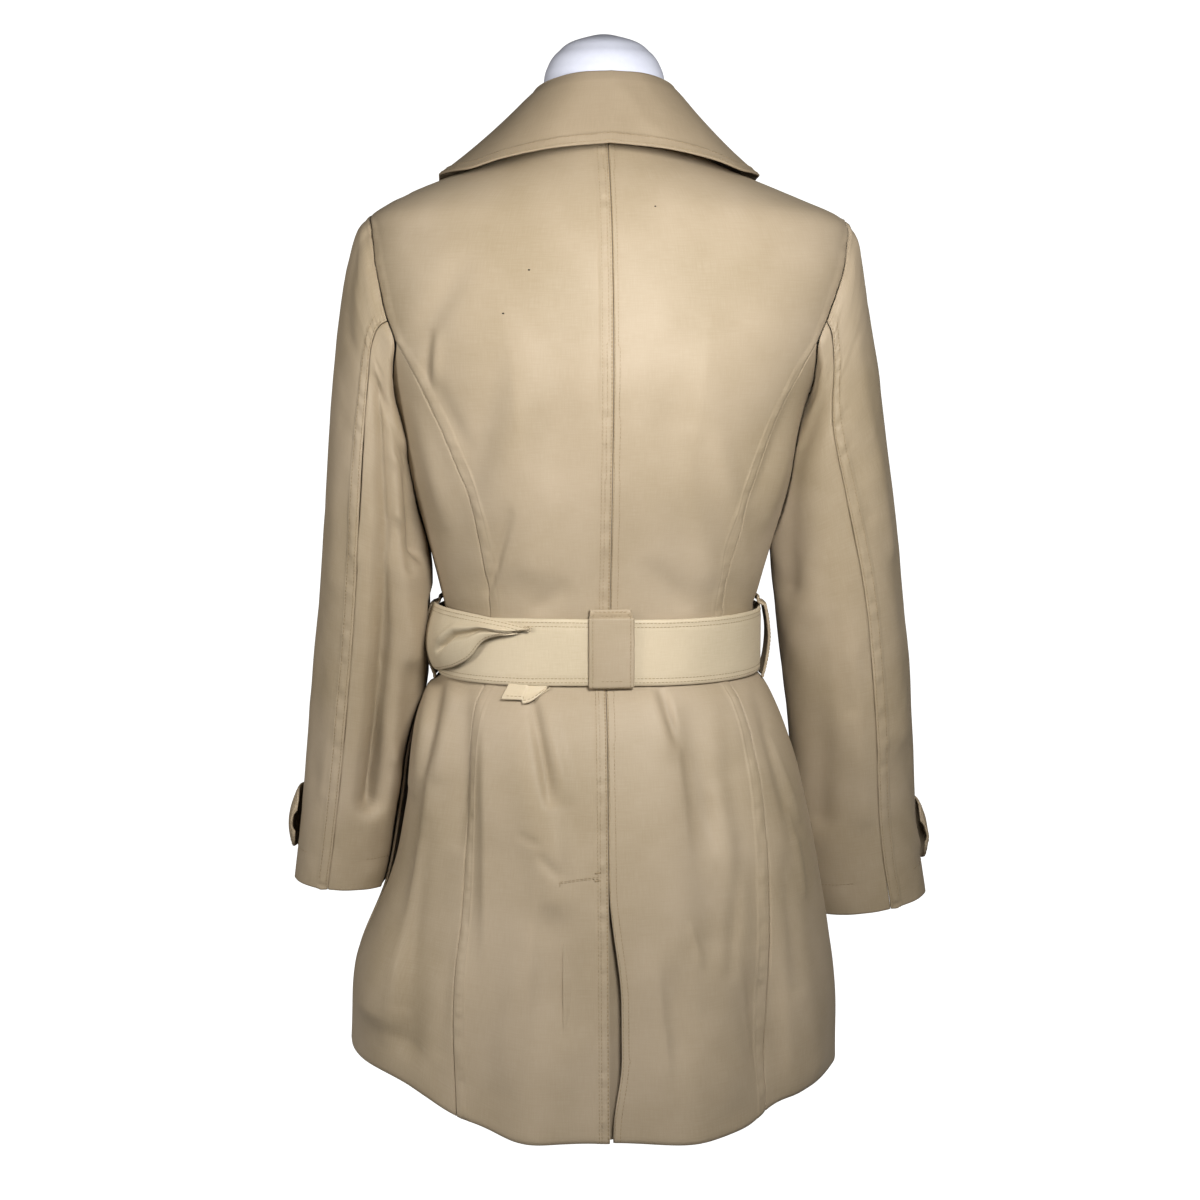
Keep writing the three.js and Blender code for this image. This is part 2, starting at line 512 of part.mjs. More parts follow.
// A sleeve's own shape: rings through the guide lines, starting on the armhole's edge.
function sleeveShape(spec) {
  const guide = Object.fromEntries(
    Object.keys(spec.rows[0]).filter((key) => key !== 's').map((key) => [key, column(spec.rows, 's', key)]),
  );
  const seamAngle = column(spec.seam, 's', 'angle');
  const ellipse = (s, angle) => {
    const c = Math.cos(angle);
    const d = Math.sin(angle);
    const x = (guide.outX(s) + guide.inX(s)) / 2 + ((guide.outX(s) - guide.inX(s)) / 2) * c;
    const z = (guide.outZ(s) + guide.inZ(s)) / 2 + ((guide.outZ(s) - guide.inZ(s)) / 2) * c;
    const y = (guide.back(s) + guide.front(s)) / 2 + ((guide.back(s) - guide.front(s)) / 2) * d;
    return new THREE.Vector3(spec.side * x, y, z);
  };
  const armholeEdge = (angle) => {
    const z = (SHOULDER_Z + UNDERARM_Z) / 2 + ((SHOULDER_Z - UNDERARM_Z) / 2) * Math.cos(angle);
    const edge = Math.sin(angle) >= 0 ? armholeBack(z) : armholeFront(z);
    return bodyPoint(spec.side * radians(edge), z, 0);
  };
  const unfolded = (s, angle) => {
    const p = ellipse(s, angle);
    const fade = 1 - smoothstep(0, 0.22, s);
    if (fade > 0) p.add(armholeEdge(angle).sub(ellipse(0, angle)).multiplyScalar(fade));
    p.x += spec.side * SLEEVE_LIFT;
    return p;
  };
  const normal = (s, angle) => {
    const across = unfolded(s, angle + 0.05).sub(unfolded(s, angle - 0.05));
    const along = unfolded(Math.min(1, s + 0.01), angle).sub(unfolded(Math.max(0, s - 0.01), angle));
    return along.cross(across).normalize().multiplyScalar(spec.side);
  };
  // Keeps a point outside the coat's body, which it may touch but not enter.
  const clear = (p, gap) => {
    if (p.z > SHOULDER_Z - 4) return p;
    const angle = Math.atan2(p.x, p.y);
    const beside = 1 - smoothstep(BELT_HEIGHT / 2 + 4, BELT_HEIGHT / 2 + 30, Math.abs(p.z - WAIST_Z));
    const least = Math.max(bodyRadius(angle, p.z), beltRadius(angle) + BELT_STACK) * beside
      + bodyRadius(angle, p.z) * (1 - beside) + gap;
    const r = Math.hypot(p.x, p.y);
    if (r < least) {
      p.x *= least / r;
      p.y *= least / r;
    }
    return p;
  };
  return (s, angle, depth) => {
    let folds = 0;
    const turn = THREE.MathUtils.radToDeg(angle);
    for (const fold of spec.folds) {
      const aside = (SLEEVE_RADIUS * Math.PI) / 180;
      folds += fold.depth * foldStrength(s * SLEEVE_LENGTH, turn * aside, fold.s0 * SLEEVE_LENGTH, fold.a0 * aside,
        fold.s1 * SLEEVE_LENGTH, fold.a1 * aside, fold.width);
    }
    const p = unfolded(s, angle).addScaledVector(normal(s, angle), folds * smoothstep(0, 0.08, s) - depth);
    return s > 0.01 ? clear(p, CLOTH_CLEARANCE + depth) : p;
  };
}

const SLEEVE_STEPS = [0, 0.015, 0.04, 0.08, 0.12, 0.17, 0.22, 0.28, 0.34, 0.4, 0.46, 0.51, 0.56, 0.61, 0.67, 0.74,
  0.81, 0.88, 0.94, 1];

function buildSleeves() {
  for (const [name, spec] of Object.entries(SLEEVES)) {
    const shape = sleeveShape(spec);
    const seamAngle = column(spec.seam, 's', 'angle');
    const nv = SLEEVE_STEPS.length - 1;
    const inset = SEAM / SLEEVE_RADIUS;
    const panel = (label, from, to, nu) => {
      const place = (depth) => (u, v) => {
        const s = SLEEVE_STEPS[Math.round(v * nv)];
        const angle = lerp(from(s) + inset, to(s) - inset, u);
        return shape(s, angle, depth);
      };
      addMesh(`${label}_${name}`, wallGeometry(place(0), place(WALL), nu, nv), 'cloth');
    };
    const frontSeam = radians(FRONT_SLEEVE_SEAM);
    panel('top_sleeve', () => frontSeam, (s) => radians(seamAngle(s)), 10);
    panel('under_sleeve', (s) => radians(seamAngle(s)), () => frontSeam + 2 * Math.PI, 9);
    buildCuffTab(name, spec, shape);
  }
}

// The cuff tab stands off the sleeve's outer side, its rounded end held by a button.
function buildCuffTab(name, spec, shape) {
  const tabMiddle = 0.915;
  const halfWidth = 0.046;
  const place = (depth) => (u, v) => {
    const point = Math.sqrt(Math.max(0, 1 - Math.pow(Math.max(0, (u - 0.72) / 0.28), 2)));
    const s = tabMiddle + (v * 2 - 1) * halfWidth * lerp(0.35, 1, point);
    const angle = radians(lerp(-88, 12, u));
    const stand = 0.4 + 8 * Math.sin(Math.PI * Math.min(1, u * 0.72)) * (1 - 0.75 * Math.pow(v * 2 - 1, 2));
    return shape(s, angle, -stand - depth);
  };
  addMesh(`cuff_tab_${name}`, wallGeometry(place(WALL), place(0), 10, 6), 'cloth');
  const at = shape(tabMiddle, radians(-72), -0.5 - WALL - SEAM - 8 * Math.sin(Math.PI * 0.135) - 0.4);
  const out = shape(tabMiddle, radians(-72), -40).sub(at);
  addButton(`cuff_button_${name}`, at, out, BUTTON_RADIUS * 0.75);
}

// A sewn-on button, its face turned outwards.
function addButton(name, at, out, radius) {
  const profile = [
    [0, 0], [radius * 0.8, 0], [radius, 1], [radius, 2.6], [radius * 0.88, 3.2], [radius * 0.72, 2.5], [0, 2.3],
  ].map(([x, y]) => new THREE.Vector2(x, y));
  const mesh = addMesh(name, closedLathe(profile, 12), 'button');
  mesh.position.copy(at);
  mesh.quaternion.setFromUnitVectors(new THREE.Vector3(0, 1, 0), out.clone().normalize());
}

// A lathe with one vertex at each pole, so that it closes.
function closedLathe(profile, segments) {
  const positions = [0, profile[0].y, 0];
  const index = [];
  const rings = profile.slice(1, -1);
  for (const point of rings) {
    for (let i = 0; i < segments; i++) {
      const angle = (2 * Math.PI * i) / segments;
      positions.push(point.x * Math.sin(angle), point.y, point.x * Math.cos(angle));
    }
  }
  positions.push(0, profile[profile.length - 1].y, 0);
  const top = positions.length / 3 - 1;
  const at = (ring, i) => 1 + ring * segments + (i % segments);
  for (let i = 0; i < segments; i++) {
    index.push(0, at(0, i + 1), at(0, i));
    for (let ring = 0; ring < rings.length - 1; ring++) {
      index.push(at(ring, i), at(ring, i + 1), at(ring + 1, i + 1), at(ring, i), at(ring + 1, i + 1), at(ring + 1, i));
    }
    index.push(top, at(rings.length - 1, i), at(rings.length - 1, i + 1));
  }
  return outwardGeometry(positions, index);
}

// The belt's radius: just outside the widest of the body behind it.
function beltRadius(angle) {
  let widest = 0;
  for (const z of spread(WAIST_Z - BELT_HEIGHT / 2 - 2, WAIST_Z + BELT_HEIGHT / 2 + 2, 6)) {
    widest = Math.max(widest, bodyRadius(angle, z));
  }
  const fromFront = Math.abs(Math.abs(angle) - Math.PI);
  const overLap = OVERLAP_STEP * (1 - smoothstep(radians(22), radians(48), fromFront));
  return widest + 1 + overLap;
}

const BELT_THICKNESS = 2.4;

function beltPoint(angle, z, out) {
  const r = beltRadius(angle) + out;
  return new THREE.Vector3(r * Math.sin(angle), r * Math.cos(angle), z);
}

function buildBelt() {
  const low = WAIST_Z - BELT_HEIGHT / 2;
  const high = WAIST_Z + BELT_HEIGHT / 2;
  const half = radians(178.5);
  const band = (out) => (u, v) => beltPoint(lerp(-half, half, u), lerp(low, high, v), out);
  addMesh('belt', wallGeometry(band(BELT_THICKNESS), band(0), 56, 2), 'belt');
  buildBeltTwist(low, high);
  buildBeltTuck(low);
  buildBeltTail(low, high);
  buildBuckle();
}

// The half twist of the belt behind the wearer's left hip: the turned layer lies over the band and runs to a point.
function buildBeltTwist(low, high) {
  const place = (out) => (u, v) => {
    const angle = radians(lerp(86, 47, u));
    const top = high + 5 - 25 * Math.pow(u, 2.4);
    const bottom = lerp(low + 3, high - 18, smoothstep(0, 0.8, u));
    const puff = 6 * Math.sin(Math.PI * Math.pow(v, 0.8)) * (1 - 0.5 * u);
    return beltPoint(angle, lerp(bottom, top, v), BELT_THICKNESS + 0.4 + puff + out);
  };
  addMesh('belt_twist', wallGeometry(place(BELT_THICKNESS), place(0), 10, 6), 'belt');
}

// A fold of cloth caught under the belt's lower edge, beside the twist.
function buildBeltTuck(low) {
  const place = (out) => (u, v) => {
    const angle = radians(lerp(43, 27.5, u));
    const squareEnd = low - 12;
    const bottom = u < 0.5 ? squareEnd : lerp(squareEnd - 2, low - 3, Math.pow((u - 0.5) / 0.5, 2));
    return bodyPoint(angle, lerp(bottom, low - 2.2, v), 0.5 + out);
  };
  addMesh('belt_tuck', wallGeometry(place(BELT_THICKNESS), place(0), 8, 3), 'belt');
}

// The free end of the belt, past the buckle, lies on the band.
function buildBeltTail(low, high) {
  const place = (out) => (u, v) => {
    const angle = radians(lerp(176, 118, u));
    const tip = 1 - 0.5 * Math.max(0, (u - 0.86) / 0.14);
    const z = WAIST_Z + (v - 0.5) * (high - low - 2) * tip - 6 * u;
    return beltPoint(angle, z, BELT_THICKNESS + 0.4 + out);
  };
  addMesh('belt_tail', wallGeometry(place(BELT_THICKNESS), place(0), 12, 2), 'belt');
}

// A plain covered buckle: a rounded frame over the middle of the front.
function buildBuckle() {
  const outerHeight = BELT_HEIGHT + 14;
  const outerWidth = 46;
  const rim = 6;
  const rounded = (shape, w, h, r) => {
    shape.moveTo(-w / 2 + r, -h / 2);
    shape.lineTo(w / 2 - r, -h / 2);
    shape.absarc(w / 2 - r, -h / 2 + r, r, -Math.PI / 2, 0);
    shape.absarc(w / 2 - r, h / 2 - r, r, 0, Math.PI / 2);
    shape.absarc(-w / 2 + r, h / 2 - r, r, Math.PI / 2, Math.PI);
    shape.absarc(-w / 2 + r, -h / 2 + r, r, Math.PI, Math.PI * 1.5);
    shape.closePath();
    return shape;
  };
  const frame = rounded(new THREE.Shape(), outerWidth, outerHeight, 9);
  frame.holes.push(rounded(new THREE.Path(), outerWidth - 2 * rim, outerHeight - 2 * rim, 4));
  const geometry = new THREE.ExtrudeGeometry(frame, { depth: 4, bevelEnabled: false, curveSegments: 4 });
  const mesh = addMesh('buckle', geometry, 'buckle');
  mesh.rotation.x = Math.PI / 2;
  mesh.position.set(0, -(beltRadius(Math.PI) + 2 * BELT_THICKNESS + 0.9), WAIST_Z);
}

// Belt carriers are sewn to the coat at top and bottom and bridge the belt.
const CARRIERS = [
  { name: 'belt_loop_back', angle: 0, stand: 0.8 },
  { name: 'belt_loop_left', angle: 95, stand: 1.5 },
  { name: 'belt_loop_right', angle: -86, stand: 2 },
];
const CARRIER_PROFILE = [
  { z: -32, out: 0 }, { z: -30, out: 0.2 }, { z: -27.2, out: 1 }, { z: -20, out: 1 }, { z: -8, out: 1 },
  { z: 4, out: 1 }, { z: 16, out: 1 }, { z: 27.2, out: 1 }, { z: 30, out: 0.2 }, { z: 32, out: 0 },
];
const CARRIER_WALL = 2.2;

function buildCarriers() {
  for (const carrier of CARRIERS) {
    const middle = radians(carrier.angle);
    const half = LOOP_WIDTH / 2 / plainRadius(middle, WAIST_Z);
    const last = CARRIER_PROFILE.length - 1;
    const place = (out) => (u, v) => {
      const angle = middle + lerp(-half, half, u);
      const row = CARRIER_PROFILE[Math.round(v * last)];
      const z = WAIST_Z + row.z;
      const bridge = beltRadius(angle) + BELT_THICKNESS + 0.6 + carrier.stand * Math.sin(Math.PI * v);
      const sewn = bodyRadius(angle, z) + 0.9;
      const r = lerp(sewn, bridge, row.out) + out;
      return new THREE.Vector3(r * Math.sin(angle), r * Math.cos(angle), z);
    };
    addMesh(carrier.name, wallGeometry(place(CARRIER_WALL), place(0), 4, last), 'cloth');
  }
}

// Front buttons: two columns, closing the wearer's right front over the left.
function buildButtons() {
  const rows = [330, 470, 240];
  for (const [i, z] of rows.entries()) {
    for (const [name, x] of [['left', 46], ['right', -46]]) {
      const angle = frontAngle(x, z);
      const seat = 0.5 + OVERLAP_STEP;
      const at = bodyPoint(angle, z, seat);
      const out = bodyPoint(angle, z, seat + 10).sub(at);
      addButton(`front_button_${name}_${i + 1}`, at, out, BUTTON_RADIUS);
    }
  }
}

// The dress form stands inside the coat and carries it at the shoulders.
function buildForm() {
  const inset = column(FORM_INSET, 'z', 'inset');
  const drop = column(FORM_INSET, 'z', 'drop');
  const neckRadius = column(NECK, 'z', 'radius');
  const neckY = column(NECK, 'z', 'y');
  const torso = [...spread(FORM_BOTTOM_Z, 665, 11), 685, 705, 722, 735, 745, 752, 760, 769, 778, 787, 795];
  const neck = NECK.map((row) => row.z);
  const segments = 28;
  const positions = [];
  const index = [];
  const ring = (pointAt) => {
    for (let i = 0; i < segments; i++) positions.push(...pointAt((2 * Math.PI * i) / segments).toArray());
  };
  for (const z of torso) {
    ring((angle) => {
      const r = plainRadius(angle, z) - inset(z);
      return new THREE.Vector3(r * Math.sin(angle), r * Math.cos(angle), z - drop(z) + lift(z) * Math.cos(angle));
    });
  }
  for (const z of neck) {
    ring((angle) => new THREE.Vector3(neckRadius(z) * Math.sin(angle) - NECK_LEAN, neckRadius(z) * Math.cos(angle) + neckY(z),
      z + 8 * Math.cos(angle) * Math.max(0, 1 - (z - 797) / 30)));
  }
  const rings = torso.length + neck.length;
  const bottom = positions.length / 3;
  positions.push(0, 0, FORM_BOTTOM_Z);
  positions.push(-NECK_LEAN, -10, NECK_TOP_Z);
  for (let i = 0; i < segments; i++) {
    const next = (i + 1) % segments;
    index.push(bottom, i, next);
    for (let k = 0; k < rings - 1; k++) {
      const a = k * segments;
      const b = a + segments;
      index.push(a + i, b + i, b + next, a + i, b + next, a + next);
    }
    index.push(bottom + 1, (rings - 1) * segments + next, (rings - 1) * segments + i);
  }
  addMesh('form_torso', outwardGeometry(positions, index), 'form');
}

function buildFoot() {
  const stem = new THREE.CylinderGeometry(STEM_RADIUS, STEM_RADIUS, FORM_BOTTOM_Z - FOOT_HEIGHT - 2 * SEAM, 24);
  const stemMesh = addMesh('form_stem', stem, 'metal');
  stemMesh.rotation.x = Math.PI / 2;
  stemMesh.position.z = (FORM_BOTTOM_Z + FOOT_HEIGHT) / 2;
  const rim = 2;
  const profile = [
    [0, 0], [FOOT_RADIUS - rim, 0], [FOOT_RADIUS, rim], [FOOT_RADIUS, FOOT_HEIGHT - rim - 2],
    [FOOT_RADIUS - rim, FOOT_HEIGHT - 2], [STEM_RADIUS + 12, FOOT_HEIGHT], [0, FOOT_HEIGHT],
  ].map(([x, y]) => new THREE.Vector2(x, y));
  const footMesh = addMesh('form_foot', closedLathe(profile, 40), 'metal');
  footMesh.rotation.x = Math.PI / 2;
}

buildBody();
buildLapels();
buildCollar();
buildSleeves();
buildBelt();
buildCarriers();
buildButtons();
buildForm();
buildFoot();

export default group;
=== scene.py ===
# %% [markdown]
# # A belted trench coat on a dress form
# A coat is a set of flat pieces of cloth sewn into a hollow shape. Here each piece is a surface worked out
# with numpy from tables of sizes, in the same frame as the imported solids: the tables are in millimetres,
# and every mesh is turned to metres when it is made. +Y is behind the wearer and +X at the wearer's left.
#
# The imported model comes first. Its box is kept, because the finished looks must not outgrow it. Its box
# is kept and printed.

# %% Load the imported model
import bpy
import numpy as np
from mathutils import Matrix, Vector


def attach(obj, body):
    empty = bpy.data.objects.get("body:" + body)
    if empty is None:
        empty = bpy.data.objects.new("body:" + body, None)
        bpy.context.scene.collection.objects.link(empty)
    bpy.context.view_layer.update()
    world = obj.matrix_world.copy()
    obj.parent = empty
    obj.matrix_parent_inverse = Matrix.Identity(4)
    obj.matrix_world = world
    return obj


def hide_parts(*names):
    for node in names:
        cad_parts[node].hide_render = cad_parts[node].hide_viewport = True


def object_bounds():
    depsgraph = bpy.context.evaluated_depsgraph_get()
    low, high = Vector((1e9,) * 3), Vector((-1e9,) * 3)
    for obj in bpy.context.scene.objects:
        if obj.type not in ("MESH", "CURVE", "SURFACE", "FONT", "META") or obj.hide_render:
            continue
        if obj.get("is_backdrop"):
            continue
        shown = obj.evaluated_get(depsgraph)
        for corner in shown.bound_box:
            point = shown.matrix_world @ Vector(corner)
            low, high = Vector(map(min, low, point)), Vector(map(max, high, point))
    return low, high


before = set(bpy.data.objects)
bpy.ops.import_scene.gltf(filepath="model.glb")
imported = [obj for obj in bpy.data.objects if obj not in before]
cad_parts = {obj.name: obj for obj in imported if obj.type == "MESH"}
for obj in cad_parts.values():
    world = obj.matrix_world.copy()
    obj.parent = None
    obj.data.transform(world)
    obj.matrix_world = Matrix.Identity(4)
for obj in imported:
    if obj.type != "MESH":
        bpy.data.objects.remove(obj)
cad_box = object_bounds()
print("nodes:", len(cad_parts), "box:", cad_box)

# %% [markdown]
# ## Smooth curves through short tables
# A pattern maker measures a body at a few heights and draws smooth lines between the marks. A cubic through
# each pair of marks does the same, and its slope is level wherever the marks turn back, so that it never
# swings past them. That is why no ready-made spline is used.

# %% A curve through one column of a table
def curve(xs, ys):
    """Cubic Hermite curve through (xs, ys): a mark's slope is the weighted mean of its two neighbours' slopes,
    or 0 where they have opposite signs."""
    xs, ys = np.asarray(xs, float), np.asarray(ys, float)
    step = np.diff(xs)
    slope = np.diff(ys) / step
    inner = (slope[:-1] * step[1:] + slope[1:] * step[:-1]) / (step[:-1] + step[1:])
    inner = np.where(slope[:-1] * slope[1:] <= 0, 0, inner)
    tangent = np.concatenate([slope[:1], inner, slope[-1:]])

    def at(x):
        x = np.clip(x, xs[0], xs[-1])
        i = np.clip(np.searchsorted(xs, x, side="left") - 1, 0, len(step) - 1)
        t = (x - xs[i]) / step[i]
        t2, t3 = t * t, t * t * t
        return ((2 * t3 - 3 * t2 + 1) * ys[i] + (t3 - 2 * t2 + t) * step[i] * tangent[i]
                + (3 * t2 - 2 * t3) * ys[i + 1] + (t3 - t2) * step[i] * tangent[i + 1])
    return at


def curves(names, rows):
    """One curve for each named column, as functions of the first column."""
    table = np.array(rows, float)
    return {name: curve(table[:, 0], table[:, k + 1]) for k, name in enumerate(names)}


def smoothstep(low, high, x):
    """3t^2 - 2t^3, where t goes from 0 at low to 1 at high."""
    t = np.clip((x - low) / (high - low), 0, 1)
    return t * t * (3 - 2 * t)


# %% Sizes of the coat's body, in millimetres
WALL = 1.8
HEM_Z, HEM_FADE_Z = 24, 200
UNDERARM_Z, SHOULDER_Z, NECK_Z = 600, 745, 795
WAIST_Z, BELT_HEIGHT, BELT_THICKNESS = 400, 52, 2.4
PRINCESS_TOP_Z, VENT_TOP_Z, BREAK_Z = 645, 232, 500
SIDE_SEAM, FRONT_WRAP, OVERLAP_STEP = 92, 205, 2.6
body = curves(["left", "right", "back", "front", "square", "lift"], [
    (24, 211, 200, 166, 150, 2.3, 0), (126, 203, 196, 157, 143, 2.3, 0), (198, 180, 185, 149, 136, 2.3, 0),
    (262, 168, 172, 139, 128, 2.3, 0), (313, 160, 159, 127, 120, 2.3, 0), (345, 150, 147, 116, 114, 2.3, 0),
    (362, 141, 138, 107, 109, 2.3, 0), (374, 131, 129, 98, 105, 2.3, 0), (400, 129, 128, 94, 104, 2.3, 0),
    (426, 129, 127, 92, 105, 2.3, 0), (440, 132, 131, 93, 106, 2.3, 0), (480, 142, 143, 100, 114, 2.3, 0),
    (530, 156, 156, 111, 126, 2.35, 0), (580, 166, 164, 118, 132, 2.4, 0), (620, 177, 178, 121, 127, 2.45, 0),
    (662, 187, 192, 119, 117, 2.5, 0), (700, 190, 203, 113, 104, 2.5, 1), (728, 188, 204, 106, 93, 2.4, 2),
    (745, 183, 194, 99, 84, 2.3, 4), (756, 166, 168, 93, 76, 2.2, 5), (768, 138, 138, 85, 68, 2.1, 6),
    (781, 103, 104, 75, 61, 2.0, 7), (795, 70, 72, 66, 54, 2.0, 8)])
princess = curve([24, 180, 291, 362, 400, 445, 500, 545, 590, 625, 645], [42, 46, 50, 53, 54, 53, 52, 55, 60, 65, 69])
armhole_z = [600, 603, 612, 628, 645, 662, 700, 728, 741, 745]
armhole_back = curve(armhole_z, [92, 84, 77, 72, 69, 71, 75, 80, 85, 90])
armhole_front = curve(armhole_z, [92, 100, 108, 113, 115, 114, 110, 104, 97, 90])
roll_line = curve([500, 550, 600, 650, 700, 740, 770, 795], [205, 189, 176, 166, 155, 141, 124, 105])
hem_height = curve([-180, -115, -90, -68, -50, -34, -16, 0, 14, 28, 40, 54, 72, 90, 115, 150, 180],
                   [26, 28, 34, 48, 42, 26, 21, 24, 25, 26, 37, 58, 63, 60, 42, 28, 26])
print("the belt is", BELT_HEIGHT, "mm high round a waist half", float(body["left"](WAIST_Z)), "mm wide")

# %% [markdown]
# ## Folds
# Cloth that is pulled in by a belt or an arm has folds that start sharply and fade. Each fold here is a line
# across the cloth with a width and a depth: the surface moves by depth times a bell curve of the distance
# to the line, and the bell grows along it. A cloth simulation would place them by chance, and these have to
# lie where they lie on this coat, so they come from a table.

# %% Large folds, which the solids have too
def fold_strength(px, py, x0, y0, x1, y1, width):
    """exp(-(distance to the segment / width)^2), times 0.45 at its start and 1 at its end."""
    dx, dy = x1 - x0, y1 - y0
    along = np.clip(((px - x0) * dx + (py - y0) * dy) / (dx * dx + dy * dy), 0, 1)
    away = np.hypot(px - x0 - along * dx, py - y0 - along * dy) / width
    return np.exp(-away * away) * (0.45 + 0.55 * along)


# Columns: x and z of the start, x and z of the end, width, depth (outwards is positive).
BACK_FOLDS = [
    (78, 355, 48, 215, 15, 5), (128, 350, 165, 60, 17, -8), (140, 330, 190, 80, 16, 6),
    (92, 240, 108, 26, 22, -6), (-60, 360, -78, 180, 17, -5), (-96, 300, -132, 26, 20, -7),
    (-128, 300, -160, 40, 18, 6), (-34, 150, -60, 26, 24, 6), (55, 170, 62, 26, 26, 6),
    (70, 640, 62, 470, 18, 4), (-66, 620, -84, 460, 18, 4)]
FRONT_FOLDS = [(95, 350, 125, 26, 20, -7), (130, 330, 165, 26, 18, 6), (-98, 345, -130, 26, 20, -7)]


def plain_radius(angle, z):
    """Superellipse: (|sin|/half width)^n + (|cos|/depth)^n = r^-n."""
    s, c = np.sin(angle), np.cos(angle)
    half = np.where(s >= 0, body["left"](z), body["right"](z))
    depth = np.where(c >= 0, body["back"](z), body["front"](z))
    n = body["square"](z)
    return ((np.abs(s) / half) ** n + (np.abs(c) / depth) ** n) ** (-1 / n)


def body_radius(angle, z):
    plain = plain_radius(angle, z)
    x, c = plain * np.sin(angle), np.cos(angle)
    quiet = smoothstep(BELT_HEIGHT * 0.55, BELT_HEIGHT * 1.3, np.abs(z - WAIST_Z))
    back = sum(f[5] * fold_strength(x, z, *f[:5]) for f in BACK_FOLDS)
    front = sum(f[5] * fold_strength(x, z, *f[:5]) for f in FRONT_FOLDS) * smoothstep(72, 92, np.abs(x))
    return plain + np.where(c >= 0, back, front) * quiet * smoothstep(0, 0.3, np.abs(c))


def on_body(angle, z):
    """The point of the body at an angle from the centre back and a height, with its hem's own height."""
    angle, z = np.broadcast_arrays(angle, z)
    r = body_radius(angle, z)
    turn = np.degrees(np.arctan2(np.sin(angle), np.cos(angle)))
    hem = (hem_height(turn) - HEM_Z) * (1 - smoothstep(HEM_Z, HEM_FADE_Z, z))
    return np.stack([r * np.sin(angle), r * np.cos(angle), z + body["lift"](z) * np.cos(angle) + hem], -1)


print("folds in the solids:", len(BACK_FOLDS) + len(FRONT_FOLDS))

# %% [markdown]
# ## From a grid of points to a piece of cloth
# A sewn piece is one thickness of cloth with turned edges. Blender's Solidify modifier could give it its
# thickness, but its edges would be cut square. So the wall is made here: the outer points, the same
# points moved inwards along the normal, and round the edge one more row that stands out a little, which
# reads as a fold. A UV map holds the place on the flat cloth in metres, for the weave.

# %% A closed wall of cloth
def normals_of(grid):
    """Cross product of the grid's two tangents, of length 1."""
    du, dv = np.gradient(grid, axis=0), np.gradient(grid, axis=1)
    n = np.cross(du, dv)
    return n / np.maximum(np.linalg.norm(n, axis=-1, keepdims=True), 1e-9)


def mesh_piece(name, points, faces, uv, material):
    mesh = bpy.data.meshes.new(name)
    mesh.from_pydata((points * 0.001).tolist(), [], faces)
    index = np.empty(len(mesh.loops), np.int32)
    mesh.loops.foreach_get("vertex_index", index)
    mesh.uv_layers.new(name="cut").data.foreach_set("uv", (uv[index] * 0.001).astype(np.float32).ravel())
    mesh.polygons.foreach_set("use_smooth", np.ones(len(mesh.polygons), bool))
    mesh.materials.append(material)
    piece = bpy.data.objects.new(name, mesh)
    bpy.context.collection.objects.link(piece)
    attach(piece, "root")
    return piece


def border(nu, nv):
    """The grid's edge as one loop of indices, anticlockwise, and the index one step inside each."""
    i = np.concatenate([np.arange(nu), np.full(nv, nu), np.arange(nu, 0, -1), np.zeros(nv, int)])
    j = np.concatenate([np.zeros(nu, int), np.arange(nv), np.full(nu, nv), np.arange(nv, 0, -1)])
    inside = np.clip(i, 1, nu - 1) * (nv + 1) + np.clip(j, 1, nv - 1)
    return i * (nv + 1) + j, inside


def cloth_wall(name, grid, uv, material, wall=WALL, outward=1, replaces=()):
    """The outer grid, the grid moved in by the wall's thickness, and a rounded edge between them."""
    nu, nv = grid.shape[0] - 1, grid.shape[1] - 1
    normal = normals_of(grid) * outward
    outer = grid.reshape(-1, 3)
    inner = (grid - normal * wall).reshape(-1, 3)
    loop, inside = border(nu, nv)
    away = outer[loop] - outer[inside]
    away /= np.maximum(np.linalg.norm(away, axis=1, keepdims=True), 1e-9)
    edge = (outer[loop] + inner[loop]) / 2 + away * wall * 0.3
    count = len(outer)
    i, j = np.meshgrid(np.arange(nu), np.arange(nv), indexing="ij")
    a = (i * (nv + 1) + j).ravel()
    quads = np.stack([a, a + nv + 1, a + nv + 2, a + 1], 1)
    ring = np.arange(len(loop)) + 2 * count
    a, b = loop, np.roll(loop, -1)
    ea, eb = ring, np.roll(ring, -1)
    faces = np.concatenate([quads, quads[:, ::-1] + count, np.stack([b, a, ea, eb], 1),
                            np.stack([eb, ea, a + count, b + count], 1)])
    if outward < 0:
        faces = faces[:, ::-1]
    flat = uv.reshape(-1, 2)
    piece = mesh_piece(name, np.concatenate([outer, inner, edge]), faces.tolist(),
                       np.concatenate([flat, flat, flat[loop]]), material)
    for node in replaces:
        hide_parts(node)
    area = float(np.linalg.norm(np.cross(grid[1:, :-1] - grid[:-1, :-1], grid[:-1, 1:] - grid[:-1, :-1]), axis=-1).sum())
    print(f"{name}: {len(faces) * 2} triangles, {area * 1e-6:.3f} m2")
    return piece, area * 1e-6


# %% [markdown]
# ## Finishes
# The cloth is a cotton sateen weave: warp threads float over the weft, so the face is smooth and throws a
# broad soft gleam along each fold. The weave itself is too fine to see from a step away. What does show is
# slight unevenness of the yarn, drawn here with noise stretched along the threads of each piece's UV map.
# The belt is the same cloth, with slubs across its length. Its paler base colour is a painted highlight, and the
# collar's darker base colour is painted shade.

# %% Colours and one helper that adds a node
def linear(hex_colour):
    """sRGB hex to linear RGBA."""
    c = np.array([int(hex_colour[i:i + 2], 16) for i in (1, 3, 5)]) / 255
    c = np.where(c <= 0.04045, c / 12.92, ((c + 0.055) / 1.055) ** 2.4)
    return (*c.tolist(), 1.0)


